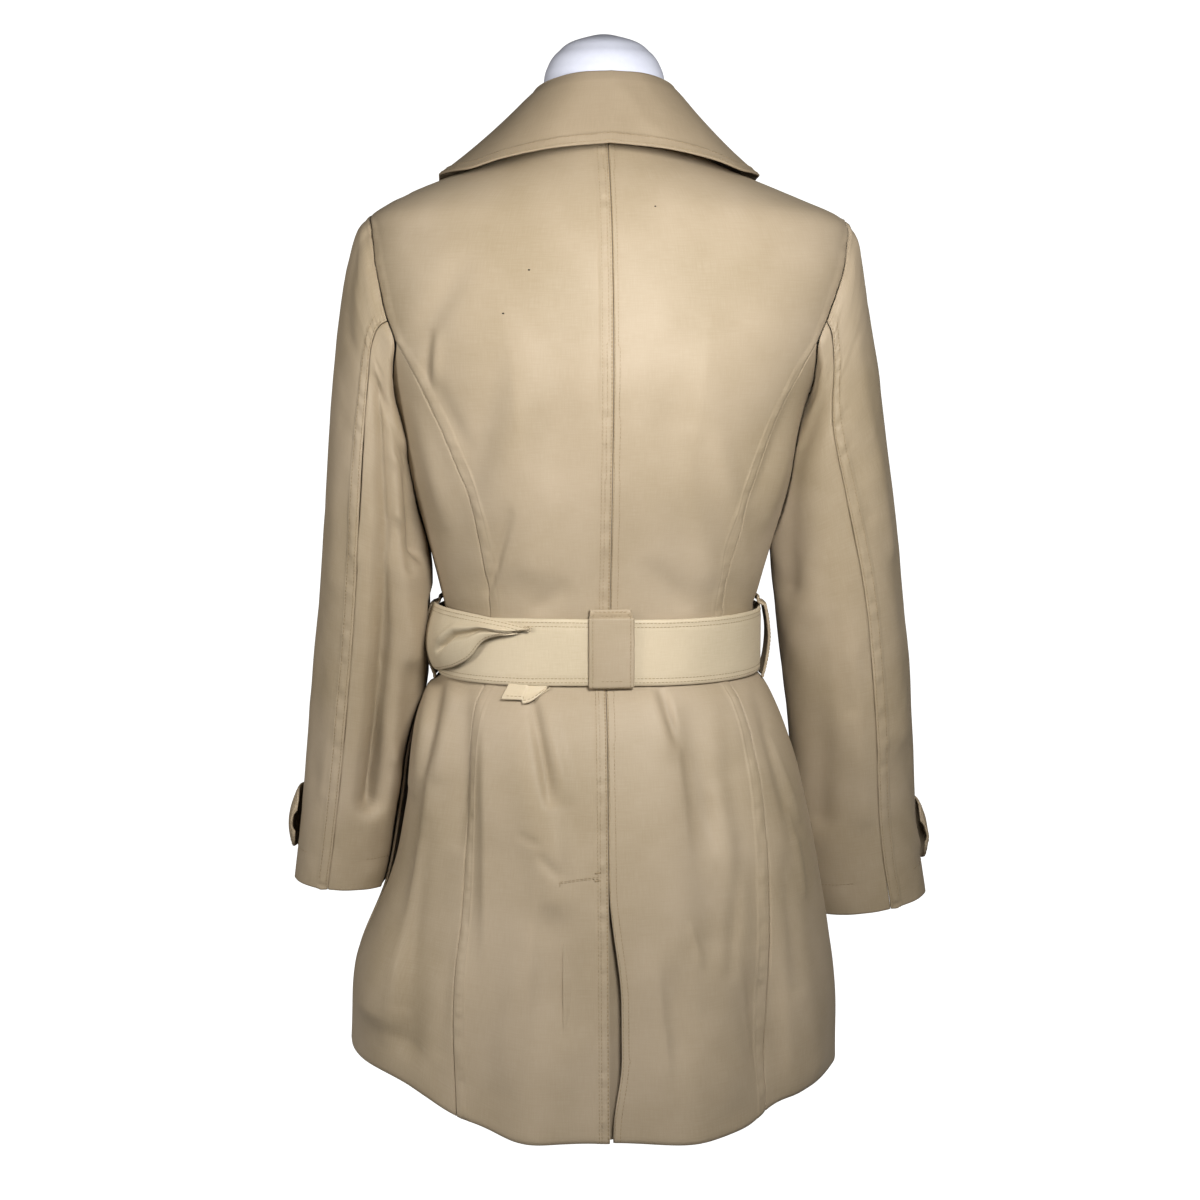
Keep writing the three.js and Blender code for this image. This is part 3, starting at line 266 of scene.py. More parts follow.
def add_node(tree, kind, settings=None, **inputs):
    """One node, with its settings, and each input given as a value or as another node's output."""
    node = tree.nodes.new(kind)
    for key, value in (settings or {}).items():
        setattr(node, key, value)
    for key, value in inputs.items():
        socket = node.inputs[int(key[1:])] if key[0] == "i" and key[1:].isdigit() else node.inputs[key.replace("_", " ")]
        if isinstance(value, bpy.types.NodeSocket):
            tree.links.new(value, socket)
        else:
            socket.default_value = value
    return node


def new_finish(name, roughness, **sockets):
    """A material whose Principled shader has the given constants on its own sockets."""
    material = bpy.data.materials.new(name)
    material.use_nodes = True
    shader = material.node_tree.nodes["Principled BSDF"]
    shader.inputs["Roughness"].default_value = roughness
    for key, value in sockets.items():
        shader.inputs[key.replace("_", " ")].default_value = value
    return material, material.node_tree, shader


# %% Cotton sateen
def sateen(name, base, light, dark, thread_mm, roughness, sheen, slub):
    """Yarn noise: fine along one thread direction and long along the other, in two directions, plus broad
    uneven dye. thread_mm is the yarn spacing drawn, a few times the real 0.2 mm so that it shows."""
    material, tree, shader = new_finish(name, roughness, Sheen_Weight=sheen, Sheen_Roughness=0.45,
                                        Specular_IOR_Level=0.4, IOR=1.5, Sheen_Tint=linear(light))
    cut = add_node(tree, "ShaderNodeUVMap", {"uv_map": "cut"}).outputs["UV"]
    per_m = 1000 / thread_mm
    warp = add_node(tree, "ShaderNodeMapping", Vector=cut, Scale=(per_m, per_m * 0.06, 1)).outputs[0]
    weft = add_node(tree, "ShaderNodeMapping", Vector=cut, Scale=(per_m * 0.05, per_m, 1)).outputs[0]
    warp_noise = add_node(tree, "ShaderNodeTexNoise", Vector=warp, Scale=1.0, Detail=2.0).outputs["Fac"]
    weft_noise = add_node(tree, "ShaderNodeTexNoise", Vector=weft, Scale=1.0, Detail=2.0).outputs["Fac"]
    place = add_node(tree, "ShaderNodeTexCoord").outputs["Object"]
    broad = add_node(tree, "ShaderNodeTexNoise", Vector=place, Scale=9.0, Detail=3.0).outputs["Fac"]
    yarn = add_node(tree, "ShaderNodeMath", {"operation": "MULTIPLY"}, i0=warp_noise, i1=weft_noise).outputs[0]
    spread = add_node(tree, "ShaderNodeMapRange", Value=yarn, From_Min=0.12, From_Max=0.4, To_Min=0.0, To_Max=1.0)
    dye = add_node(tree, "ShaderNodeMapRange", Value=broad, From_Min=0.35, From_Max=0.65, To_Min=0.0, To_Max=1.0)
    cloth = add_node(tree, "ShaderNodeMix", {"data_type": "RGBA"}, i0=dye.outputs[0], i6=linear(dark), i7=linear(base))
    threads = add_node(tree, "ShaderNodeMix", {"data_type": "RGBA", "blend_type": "MIX"}, i6=cloth.outputs[2],
                       i7=linear(light))
    amount = add_node(tree, "ShaderNodeMath", {"operation": "MULTIPLY"}, i0=spread.outputs[0], i1=slub).outputs[0]
    tree.links.new(amount, threads.inputs[0])
    tree.links.new(threads.outputs[2], shader.inputs["Base Color"])
    bump = add_node(tree, "ShaderNodeBump", Height=yarn, Strength=0.2, Distance=0.0003)
    tree.links.new(bump.outputs[0], shader.inputs["Normal"])
    return material


coat_sateen = sateen("cotton sateen, khaki", "#A69782", "#BDB19E", "#96876F", 0.8, 0.58, 0.12, 0.16)
# The collar uses a darker copy of the same cloth: its darker base colour is painted shade.
collar_sateen_painted_shade = sateen("cotton sateen, collar, painted shade", "#9A8B76", "#B1A48F", "#8C7D67", 0.8, 0.62, 0.1, 0.16)
# The belt uses a paler copy of the same cloth: its paler base colour is a painted highlight, and its slubs are the
# yarn's own.
belt_sateen_painted_highlight = sateen("cotton sateen, belt, painted highlight", "#C2B49B", "#DED5C4", "#B5A88F", 0.6, 0.52, 0.15, 0.2)
print("cloth:", coat_sateen.name, "and", belt_sateen_painted_highlight.name)

# %% [markdown]
# ## Other finishes
# Topstitching is a polyester thread a little darker than the cloth. The buttons are cast polyester, which
# is glossy with cloudy bands like horn. The form is a moulded shell, slightly blue-white, and its foot is
# brushed steel under a clear lacquer.

# %% Thread, buttons, buckle, form and foot
thread, _, _shader = new_finish("polyester topstitch thread", 0.45, Base_Color=linear("#8E7C5E"), Sheen_Weight=0.1)

horn, tree, shader = new_finish("cast polyester, horn brown", 0.22, Coat_Weight=0.3, Coat_Roughness=0.1, IOR=1.55)
place = add_node(tree, "ShaderNodeTexCoord").outputs["Object"]
bands = add_node(tree, "ShaderNodeTexNoise", Vector=place, Scale=90.0, Detail=4.0, Distortion=1.2).outputs["Fac"]
ramp = add_node(tree, "ShaderNodeMix", {"data_type": "RGBA"}, i0=bands, i6=linear("#2E2218"), i7=linear("#8A6A45"))
tree.links.new(ramp.outputs[2], shader.inputs["Base Color"])

leather, tree, shader = new_finish("vinyl-covered buckle", 0.4, IOR=1.5)
place = add_node(tree, "ShaderNodeTexCoord").outputs["Object"]
grain = add_node(tree, "ShaderNodeTexVoronoi", Vector=place, Scale=900.0).outputs["Distance"]
bump = add_node(tree, "ShaderNodeBump", Height=grain, Strength=0.3, Distance=0.0003)
tree.links.new(bump.outputs[0], shader.inputs["Normal"])
tone = add_node(tree, "ShaderNodeMix", {"data_type": "RGBA"}, i0=grain, i6=linear("#4A3826"), i7=linear("#5E4A34"))
tree.links.new(tone.outputs[2], shader.inputs["Base Color"])

shell, tree, shader = new_finish("moulded glass-fibre shell", 0.34, IOR=1.48)
place = add_node(tree, "ShaderNodeTexCoord").outputs["Object"]
orange_peel = add_node(tree, "ShaderNodeTexNoise", Vector=place, Scale=220.0, Detail=2.0).outputs["Fac"]
bump = add_node(tree, "ShaderNodeBump", Height=orange_peel, Strength=0.05, Distance=0.0003)
tree.links.new(bump.outputs[0], shader.inputs["Normal"])
tone = add_node(tree, "ShaderNodeMix", {"data_type": "RGBA"}, i0=orange_peel, i6=linear("#D4D9EC"), i7=linear("#DDE2F4"))
tree.links.new(tone.outputs[2], shader.inputs["Base Color"])

steel, tree, shader = new_finish("brushed steel, lacquered", 0.32, Metallic=1.0)
place = add_node(tree, "ShaderNodeTexCoord").outputs["Object"]
brushed = add_node(tree, "ShaderNodeMapping", Vector=place, Scale=(3000, 40, 40)).outputs[0]
lines = add_node(tree, "ShaderNodeTexNoise", Vector=brushed, Scale=1.0, Detail=2.0).outputs["Fac"]
tone = add_node(tree, "ShaderNodeMix", {"data_type": "RGBA"}, i0=lines, i6=linear("#A9ABAF"), i7=linear("#C9CBCE"))
tree.links.new(tone.outputs[2], shader.inputs["Base Color"])
print("finishes:", [m.name for m in bpy.data.materials if m.users or m.use_nodes][:10])

# %% [markdown]
# ## The small creases of the back
# On top of the large folds the cloth has finer creases: a sharp one that runs up from the waist, drag lines
# from the armholes, and pleat-like breaks under the belt. Each is a line with its own width and depth. Where
# the fold is a turned edge and not a trough, the profile is a step, which catches light on one side only.

# %% Table of creases and the relief that they give
# Columns: x and z of the start, x and z of the end, width, depth, kind.
BACK_CREASES = [
    (78, 510, 95, 446, 4.0, -2.6, "line"), (71, 520, 88, 452, 7.0, 2.0, "line"),
    (52, 655, 104, 470, 16, 2.6, "line"), (84, 640, 118, 500, 12, -2.0, "line"),
    (30, 640, 52, 500, 18, -1.8, "line"), (-18, 620, -40, 470, 16, 1.6, "line"),
    (-66, 560, -104, 436, 11, -2.6, "line"), (-84, 566, -116, 452, 9, 2.2, "line"),
    (-30, 470, -62, 434, 10, -2.0, "line"), (34, 452, 60, 432, 9, -1.8, "line"),
    (150, 590, 128, 500, 7, 2.4, "line"), (-158, 590, -128, 500, 8, 2.2, "line"),
    (-150, 610, -116, 520, 6, -1.6, "line"), (140, 620, 112, 560, 6, -1.4, "line"),
    (64, 372, 50, 288, 4.2, -4.2, "line"), (56, 368, 38, 292, 7, 2.6, "line"), (50, 288, 44, 238, 9, 1.8, "line"),
    (60, 247, 45, 232, 3.6, -1.6, "line"), (76, 262, 60, 256, 2.4, -1.0, "line"),
    (102, 378, 104, 120, 46, 4.2, "fall"), (112, 706, 152, 640, 10, -2.6, "line"), (134, 650, 136, 612, 3, 2.0, "line"),
    (141, 652, 144, 612, 4, -2.2, "line"), (-48, 378, -62, 220, -40, 3.0, "fall"), (28, 210, 38, 50, 46, 1.1, "fall"),
    (-98, 170, -116, 40, -36, 3.0, "fall"), (138, 350, 168, 140, 34, 4.0, "fall"), (62, 250, 72, 80, -36, 2.2, "fall"),
    (86, 690, 62, 500, -60, 1.5, "fall"), (-78, 690, -60, 520, 60, 1.2, "fall"), (-30, 180, -44, 50, -30, 2.4, "fall"),
    (-38, 374, -52, 330, 4.0, -3.8, "line"),
    (-30, 372, -44, 322, 8, 1.6, "line"), (-58, 330, -78, 250, 9, -1.8, "line"),
    (-90, 350, -98, 250, 8, -1.6, "line"), (-58, 190, -67, 160, 3, 1.5, "line"),
    (-86, 290, -104, 180, 9, 2.2, "line"), (-100, 250, -92, 150, 6, -1.8, "line"),
    (130, 382, 150, 300, 4, -3.4, "line"), (136, 378, 162, 280, 4, 2.8, "line"), (122, 378, 138, 300, 6, 3.0, "line"),
    (112, 372, 126, 250, 6, -2.2, "line"), (146, 260, 168, 120, 7, -3.0, "line"), (152, 240, 180, 90, 6, 2.6, "line"),
    (142, 150, 152, 60, 9, 2.0, "line"), (128, 200, 140, 90, 8, -2.4, "line"),
    (-122, 360, -150, 250, 6, -2.6, "line"), (-132, 330, -156, 258, 3, 2.0, "line"),
    (-146, 270, -158, 200, 3.2, 2.0, "line"), (-140, 230, -150, 130, 7, -2.4, "line"),
    (-132, 120, -146, 40, 9, 2.0, "line"), (-100, 130, -116, 60, 8, -2.0, "line"),
    (24, 190, 36, 110, 14, -1.8, "line"), (-20, 180, -36, 90, 14, -1.6, "line"), (-70, 110, -92, 50, 12, 2.0, "line"),
    (78, 160, 92, 70, 10, 1.8, "line"), (12, 700, 70, 690, 20, 1.0, "line"), (-40, 690, -110, 660, 18, -1.0, "line")]
FRONT_CREASES = [
    (70, 470, 90, 360, 9, -1.8, "line"), (-70, 470, -88, 440, 9, -1.8, "line"), (60, 380, 84, 300, 9, 2.2, "line"),
    (-52, 370, -80, 270, 9, -2.2, "line"), (120, 580, 92, 520, 9, 2.0, "line"), (-124, 590, -90, 520, 9, 2.0, "line"),
    (20, 370, 30, 300, 8, -1.6, "line"), (-20, 330, -36, 160, 14, 1.4, "line")]


CREASE_DEPTH = 1.7


def crease_relief(x, z, creases):
    """Bell curves of the distance to each line. A fall keeps its line as a ridge, and on one side of it the cloth goes
    down and up again over the width: -6.75 a (1 - a)^2."""
    total = np.zeros(np.broadcast(x, z).shape)
    for x0, z0, x1, z1, width, depth, kind in creases:
        strength = fold_strength(x, z, x0, z0, x1, z1, width)
        dx, dz = x1 - x0, z1 - z0
        along = ((x - x0) * dx + (z - z0) * dz) / (dx * dx + dz * dz)
        if kind == "fall":
            a = np.clip((dx * (z - z0) - dz * (x - x0)) / np.hypot(dx, dz) / width, 0, 1)
            strength = -6.75 * a * (1 - a) ** 2 * smoothstep(0, 0.4, along) * smoothstep(1, 0.6, along)
        ends = smoothstep(-0.3, 0.25, along) * smoothstep(1.3, 0.6, along)
        total += depth * strength * ends
    return total * CREASE_DEPTH


def wander(position, spacing, seed):
    """Smooth random value from -1 to 1 along a line, with one mark each spacing; the seed is fixed."""
    marks = np.random.RandomState(seed).uniform(-1, 1, 400)
    at = np.asarray(position, float) / spacing + 40
    i = np.floor(at).astype(int) % 399
    t = at - np.floor(at)
    return marks[i] + (marks[i + 1] - marks[i]) * t * t * (3 - 2 * t)


print("small creases:", len(BACK_CREASES), "behind and", len(FRONT_CREASES), "in front")

# %% [markdown]
# ## Seams and topstitching
# Each seam of this coat is pressed to one side and topstitched twice, about 10 mm apart, so a low band runs
# beside it and puckers a little between its stitches. The band is a raised strip of the same surface. The
# stitches are real: small pointed beads of thread, laid along a path at a machine's 3 mm stitch.

# %% Bands beside a seam, and rows of stitches
def seam_relief(distance, along, seed, band=0.0):
    """Rolls down 0.8 mm over the last millimetre, and rises 0.6 mm over the band with a pucker every 7 mm."""
    relief = -0.8 * np.exp(-(distance / 0.9) ** 2)
    if band:
        inside = 1 - smoothstep(band - 0.7, band + 0.9, distance)
        middle = np.exp(-((distance - band * 0.52) / (band * 0.3)) ** 2)
        relief = relief + inside * (0.7 + 0.2 * wander(along, 7, seed)) + middle * 0.8 * wander(along, 3.6, seed + 1)
        rows = np.exp(-((distance - 1.7) / 0.6) ** 2) + np.exp(-((distance - band + 1.5) / 0.6) ** 2)
        relief = relief - 0.35 * rows
    return relief


all_stitches = []


def stitch_row(path, normal, pitch=3.1, length=2.3, width=0.55, height=0.5):
    """Beads along a path: four rings of four corners each, thickest in the middle."""
    step = np.linalg.norm(np.diff(path, axis=0), axis=1)
    travelled = np.concatenate([[0], np.cumsum(step)])
    count = max(2, int(travelled[-1] / pitch))
    at = (np.arange(count) + 0.5) * travelled[-1] / count
    def pick(values, where):
        return np.stack([np.interp(where, travelled, values[:, k]) for k in range(3)], -1)
    middle, n = pick(path, at), pick(normal, at)
    t = pick(path, at + 0.6) - pick(path, at - 0.6)
    t /= np.linalg.norm(t, axis=1, keepdims=True)
    n /= np.linalg.norm(n, axis=1, keepdims=True)
    b = np.cross(t, n)
    corner = np.arange(4) * np.pi / 2 + np.pi / 4
    ring_at, ring_size = np.array([-0.5, -0.28, 0.28, 0.5]) * length, np.array([0.35, 1, 1, 0.35])
    points = (middle[:, None, None] + t[:, None, None] * ring_at[None, :, None, None]
              + (b[:, None, None] * (np.cos(corner) * width / 2)[None, None, :, None]
                 + n[:, None, None] * (np.sin(corner) * height / 2)[None, None, :, None])
              * ring_size[None, :, None, None])
    all_stitches.append(points.reshape(-1, 16, 3))


def finish_stitches(name):
    """All rows so far become one mesh: twelve sides and two ends for each stitch."""
    points = np.concatenate(all_stitches)
    all_stitches.clear()
    k = np.arange(4)
    side = np.concatenate([np.stack([r * 4 + k, r * 4 + 4 + k, r * 4 + 4 + (k + 1) % 4, r * 4 + (k + 1) % 4], 1)
                           for r in range(3)])
    one = np.concatenate([side, [[0, 1, 2, 3]], [[15, 14, 13, 12]]])
    faces = (one[None] + 16 * np.arange(len(points))[:, None, None]).reshape(-1, 4)
    flat = points.reshape(-1, 3)
    piece = mesh_piece(name, flat, faces.tolist(), flat[:, :2], thread)
    print(f"{name}: {len(points)} stitches")
    return piece


def row_beside(grid, distance, target):
    """The path where the distance from the seam equals the target, read off the finished grid."""
    i = np.clip((distance < target).sum(axis=0) - 1, 0, grid.shape[0] - 2)
    j = np.arange(grid.shape[1])
    low, high = distance[i, j], distance[i + 1, j]
    w = np.clip((target - low) / np.maximum(high - low, 1e-6), 0, 1)[:, None]
    return grid[i, j] * (1 - w) + grid[i + 1, j] * w


def columns_for(width, step, edge=(0, 0.45, 0.95, 1.6, 2.4, 3.6, 5.2, 6.8, 8.2, 9.1, 9.9, 10.8, 12.2)):
    """Fractions across a piece: close together beside its two seams and one step apart between them."""
    edge = np.array(edge)
    edge = edge[edge < width / 2 - 1]
    middle = np.linspace(edge[-1], width - edge[-1], max(2, int((width - 2 * edge[-1]) / step)) + 1)[1:-1]
    return np.concatenate([edge, middle, width - edge[::-1]]) / width


# %% [markdown]
# ## The body
# Six panels make the body: two backs, two side backs and two fronts. A pattern cutter draws each between
# its seams, and so does this: the seams are angles round the body that change with height.

# %% The six panels
def body_panel(name, rows, start, end, width, step, band_start=0, band_end=0, lift_out=None, creases=BACK_CREASES,
               seed=1, vent=False):
    z = rows[None, :]
    u = columns_for(width, step)[:, None]
    a, b = np.radians(start(rows))[None, :], np.radians(end(rows))[None, :]
    inset = np.sign(b - a) * 0.15 / plain_radius(a, z)
    angle = (a + inset) + (b - a - 2 * inset) * u
    base = on_body(angle, z)
    radius = plain_radius(angle, z)
    from_start, from_end = np.abs(angle - a) * radius, np.abs(b - angle) * radius
    x, height = base[..., 0], base[..., 2]
    quiet = smoothstep(24, 36, np.abs(height - WAIST_Z))
    relief = crease_relief(x, height, creases) * quiet
    relief = relief + seam_relief(from_start, height, seed, band_start) + seam_relief(from_end, height, seed + 7, band_end)
    relief = relief + 0.8 * wander(x + 0.45 * height, 34, seed) * wander(height - 0.3 * x, 52, seed + 3) * quiet
    relief = relief + 0.22 * wander(x - 0.5 * height, 14, seed + 4) * wander(height, 31, seed + 6) * quiet
    if vent:
        relief = relief + 2.2 * np.exp(-(from_start / 16) ** 2) * smoothstep(VENT_TOP_Z, 90, height)
    if lift_out is not None:
        relief = relief + lift_out(angle, z)
    hem_roll = -0.6 * np.exp(-((z - HEM_Z) / 1.6) ** 2)
    normal = normals_of(base)
    outward = 1 if (normal * np.stack([np.sin(angle), np.cos(angle), 0 * angle], -1)).sum() > 0 else -1
    grid = base + normal * outward * (relief + hem_roll)[..., None]
    uv = np.stack([angle * 150, np.broadcast_to(z, angle.shape)], -1)
    piece, area = cloth_wall(name + "_cloth", grid, uv, coat_sateen, outward=outward, replaces=[name])
    n = normals_of(grid) * outward
    for distance, band in ((from_start, band_start), (from_end, band_end)):
        for target in (1.7, band - 1.5) if band else ():
            stitch_row(row_beside(grid, distance, target), row_beside(n, distance, target))
    return grid, n, relief


back_rows = np.concatenate([np.arange(HEM_Z, 700, 3.2), np.arange(700, SHOULDER_Z, 2.4), np.linspace(SHOULDER_Z, NECK_Z, 30)])
side_rows = np.concatenate([np.arange(HEM_Z, PRINCESS_TOP_Z - 1, 3.2), [PRINCESS_TOP_Z - 1.5]])
front_rows = np.concatenate([np.arange(HEM_Z, SHOULDER_Z, 5.2), np.linspace(SHOULDER_Z, NECK_Z, 24)])


def back_edge(z):
    return np.where(z <= PRINCESS_TOP_Z, princess(z), np.where(z < SHOULDER_Z, armhole_back(z), 90))


def side_back_edge(z):
    return np.where(z <= UNDERARM_Z, SIDE_SEAM, armhole_back(z))


def front_side_edge(z):
    return np.where(z <= UNDERARM_Z, SIDE_SEAM, np.where(z < SHOULDER_Z, armhole_front(z), 90))


def front_inner_edge(z):
    return np.where(z <= BREAK_Z, FRONT_WRAP, roll_line(z))


def centre(z):
    """The centre seam lies a little to the left below the belt: 2.3 degrees."""
    return 2.3 * (z < WAIST_Z)


def vent_gap(z):
    """The right back's edge falls away from the slit, most of all near the knee: degrees from the centre."""
    return -3.4 * smoothstep(VENT_TOP_Z - 4, 130, z) * (1 - 0.75 * smoothstep(90, 30, z)) * (z < VENT_TOP_Z)


def overlap_out(angle, z):
    past = smoothstep(np.radians(128), np.radians(146), np.abs(angle))
    return OVERLAP_STEP * past * (1 - 0.4 * smoothstep(BREAK_Z + 100, NECK_Z - 60, z))


back_left, back_left_out, back_left_relief = body_panel("back_left", back_rows, centre, back_edge, 150, 3.0, band_start=10, band_end=9, seed=11, vent=True)
back_right, back_right_out, _ = body_panel("back_right", back_rows, lambda z: centre(z) + vent_gap(z), lambda z: -back_edge(z), 150, 3.0, band_end=9, seed=23)
body_panel("side_back_left", side_rows, princess, side_back_edge, 95, 2.8, seed=31)
body_panel("side_back_right", side_rows, lambda z: -princess(z), lambda z: -side_back_edge(z), 95, 2.8, seed=43)
body_panel("front_left", front_rows, front_side_edge, front_inner_edge, 230, 5.0, creases=FRONT_CREASES, seed=53)
body_panel("front_right", front_rows, lambda z: -front_side_edge(z), lambda z: -front_inner_edge(z), 230, 5.0,
           creases=FRONT_CREASES, lift_out=overlap_out, band_end=8, seed=67)

finish_stitches("body_stitches")

# %% [markdown]
# ## The vent
# A coat needs a slit to walk in. The left back is finished along the slit, the right back falls away from it, and
# an underlap of the same cloth closes the gap behind. Above the slit a slanted row and two bar tacks hold the
# underlap. A bar tack is many stitches in one place, so it stands higher than a row.

# %% Underlap, slanted row and bar tacks
def body_point(angle, z, out):
    """A point of the body moved out along its normal, which is the cross product of two short differences."""
    angle, z = np.broadcast_arrays(np.asarray(angle, float), np.asarray(z, float))
    across = on_body(angle + 0.02, z) - on_body(angle - 0.02, z)
    up = on_body(angle, np.minimum(z + 2, NECK_Z)) - on_body(angle, np.maximum(z - 2, HEM_Z))
    n = np.cross(up, across)
    n /= np.linalg.norm(n, axis=-1, keepdims=True)
    return on_body(angle, z) + n * np.asarray(out, float)[..., None], n


def flat_uv(grid):
    """Lengths along the first row and the first column, in millimetres."""
    du = np.linalg.norm(np.diff(grid, axis=0), axis=-1).mean(axis=1)
    dv = np.linalg.norm(np.diff(grid, axis=1), axis=-1).mean(axis=0)
    u, v = np.concatenate([[0], np.cumsum(du)]), np.concatenate([[0], np.cumsum(dv)])
    return np.stack(np.meshgrid(u, v, indexing="ij"), -1)


def edge_row(grid, n, side, target, pitch=3.1):
    """A row of stitches at a distance inside one edge of a grid, stopped that far from the two corners."""
    turned = {"u0": lambda g: g, "u1": lambda g: g[::-1], "v0": lambda g: g.swapaxes(0, 1),
              "v1": lambda g: g[:, ::-1].swapaxes(0, 1)}[side]
    g, m = turned(grid), turned(n)
    distance = np.concatenate([np.zeros((1, g.shape[1])), np.cumsum(np.linalg.norm(np.diff(g, axis=0), axis=-1), axis=0)])
    path, normal = row_beside(g, distance, target), row_beside(m, distance, target)
    travelled = np.concatenate([[0], np.cumsum(np.linalg.norm(np.diff(path, axis=0), axis=1))])
    keep = (travelled >= target) & (travelled <= travelled[-1] - target)
    stitch_row(path[keep] + normal[keep] * 0.1, normal[keep], pitch)


z, u = np.linspace(HEM_Z + 1, VENT_TOP_Z, 70)[None, :], np.linspace(0, 1, 24)[:, None]
x = -14 + 56 * u + 0 * z
ripple = 0.9 * np.sin(z / 26) * np.sin(x / 14) * smoothstep(VENT_TOP_Z, 150, z)
deep = 7 * np.exp(-((x + 3) / 13) ** 2) * smoothstep(VENT_TOP_Z, 190, z)
grid, n = body_point(np.arctan2(x, body["back"](z)), z, -WALL - 2.2 - deep + np.minimum(ripple, 0.4))
piece, area = cloth_wall("vent_underlap_cloth", grid, flat_uv(grid), coat_sateen, wall=1.4, replaces=["vent_underlap"])


def path_on_back(x, z, grid=back_left, out=back_left_out):
    """The middle of the four grid points nearest to each place, so that a row lies on the cloth's relief."""
    flat, out = grid.reshape(-1, 3), out.reshape(-1, 3)
    away = (flat[None, :, 0] - x[:, None]) ** 2 + (flat[None, :, 2] - z[:, None]) ** 2
    near = np.argsort(away, axis=1)[:, :4]
    weight = 1 / (np.take_along_axis(away, near, 1) + 0.05)
    weight /= weight.sum(axis=1, keepdims=True)
    path, normal = (flat[near] * weight[..., None]).sum(axis=1), (out[near] * weight[..., None]).sum(axis=1)
    path[:, 0], path[:, 2] = x, z
    return path + normal * 0.15, normal


t = np.linspace(0, 1, 40)
for lift in (0, 1.1):
    stitch_row(*path_on_back(13 + 31 * t, 231 - 3 * t - lift))
stitch_row(*path_on_back(44 + 0 * t[:12], 228 - 12 * t[:12]))
for x0, z0 in ((12, 234), (12, 228)):
    for k in range(3):
        stitch_row(*path_on_back(x0 + 5 * t[::6], z0 - 0.6 * t[::6] + 0.35 * k), pitch=2.4, length=2.4, width=0.45, height=0.6)
finish_stitches("vent_stitches")

# %% [markdown]
# ## Lapels and collar
# Each lapel is the front turned back along its roll line. The collar is one folded wall: it goes up the stand at
# the neck, over the fold, and down the fall. Only the fall shows from behind, and it carries two rows of
# topstitching along its edge, with a slight wave between them where the thread pulls the cloth in.

# %% Lapels
def front_angle(x, z):
    """The angle on the front at which the body has the given x, by halving the interval forty times."""
    low, high = np.full(np.shape(x), np.pi / 2), np.full(np.shape(x), np.pi * 1.5)
    for _ in range(40):
        middle = (low + high) / 2
        far = plain_radius(middle, z) * np.sin(middle) > x
        low, high = np.where(far, middle, low), np.where(far, high, middle)
    return (low + high) / 2


LAPEL_TOP_Z = 745
LAPELS = [
    ("left", 1, 596, 0.6, [(0, 12, 597), (0.25, 42, 622), (0.5, 72, 652), (0.8, 104, 684), (1, 121, 702)]),
    ("right", -1, 508, OVERLAP_STEP + 0.6,
     [(0, -42, 507), (0.2, -4, 545), (0.45, 50, 606), (0.7, 90, 660), (0.88, 111, 688), (1, 121, 702)])]
for name, side, start_z, under, edge in LAPELS:
    edge = curves(["x", "z"], edge)
    v, u = np.linspace(0, 1, 90)[None, :], np.linspace(0, 1, 46)[:, None]
    roll_z = start_z + (LAPEL_TOP_Z - start_z) * v
    edge_x, edge_z = edge["x"](v[0]), edge["z"](v[0])
    roll_angle = np.radians(roll_line(roll_z)) - 0.012
    angle = roll_angle + (front_angle(edge_x, edge_z)[None, :] - roll_angle) * u
    z = roll_z + (edge_z[None, :] - roll_z) * u
    roll = 5 * np.sin(np.pi * np.minimum(1, u * 0.85 + 0.12)) * smoothstep(0, 0.3, v)
    beneath = np.maximum(0, crease_relief(plain_radius(angle, z) * np.sin(angle), z, FRONT_CREASES))
    wave = 0.4 * np.sin(v * 34) * smoothstep(0.6, 1, u)
    grid, n = body_point(side * angle, z, under + WALL + 0.5 + roll + beneath + wave)
    n = normals_of(grid) * np.sign((normals_of(grid) * n).sum())
    outward = 1 if (normals_of(grid) * n).sum() > 0 else -1
    piece, area = cloth_wall(f"lapel_{name}_cloth", grid, flat_uv(grid), coat_sateen, outward=outward,
                             replaces=[f"lapel_{name}"])
    for target in (1.8, 8):
        edge_row(grid, n, "u1", target)

# %% Collar
COLLAR_SHIFT = 3
# Columns: place along the collar; x, y and z of the neck seam, of the fold and of the edge of the fall.
collar = curves(["seam_x", "seam_y", "seam_z", "fold_x", "fold_y", "fold_z", "edge_x", "edge_y", "edge_z"], [
    (0, 0, 68, 805, 0, 68, 853, 0, 92, 796), (0.16, 34, 58, 804, 26, 62, 852, 42, 92, 792),
    (0.32, 60, 34, 802, 46, 43, 848, 82, 80, 785), (0.48, 73, 3, 798, 56, 12, 842, 112, 54, 778),
    (0.62, 69, -22, 792, 58, -18, 832, 128, 16, 778), (0.78, 60, -44, 786, 57, -46, 814, 130, -28, 773),
    (0.9, 56, -60, 778, 55, -66, 796, 127, -64, 752), (1, 58, -73, 768, 58, -80, 780, 112, -90, 733)])


def collar_point(t, part):
    side, at = np.where(t < 0, -1, 1), np.abs(t)
    shift = COLLAR_SHIFT if part == "fold" else 0
    return np.stack([side * collar[part + "_x"](at) - shift, collar[part + "_y"](at), collar[part + "_z"](at)], -1)


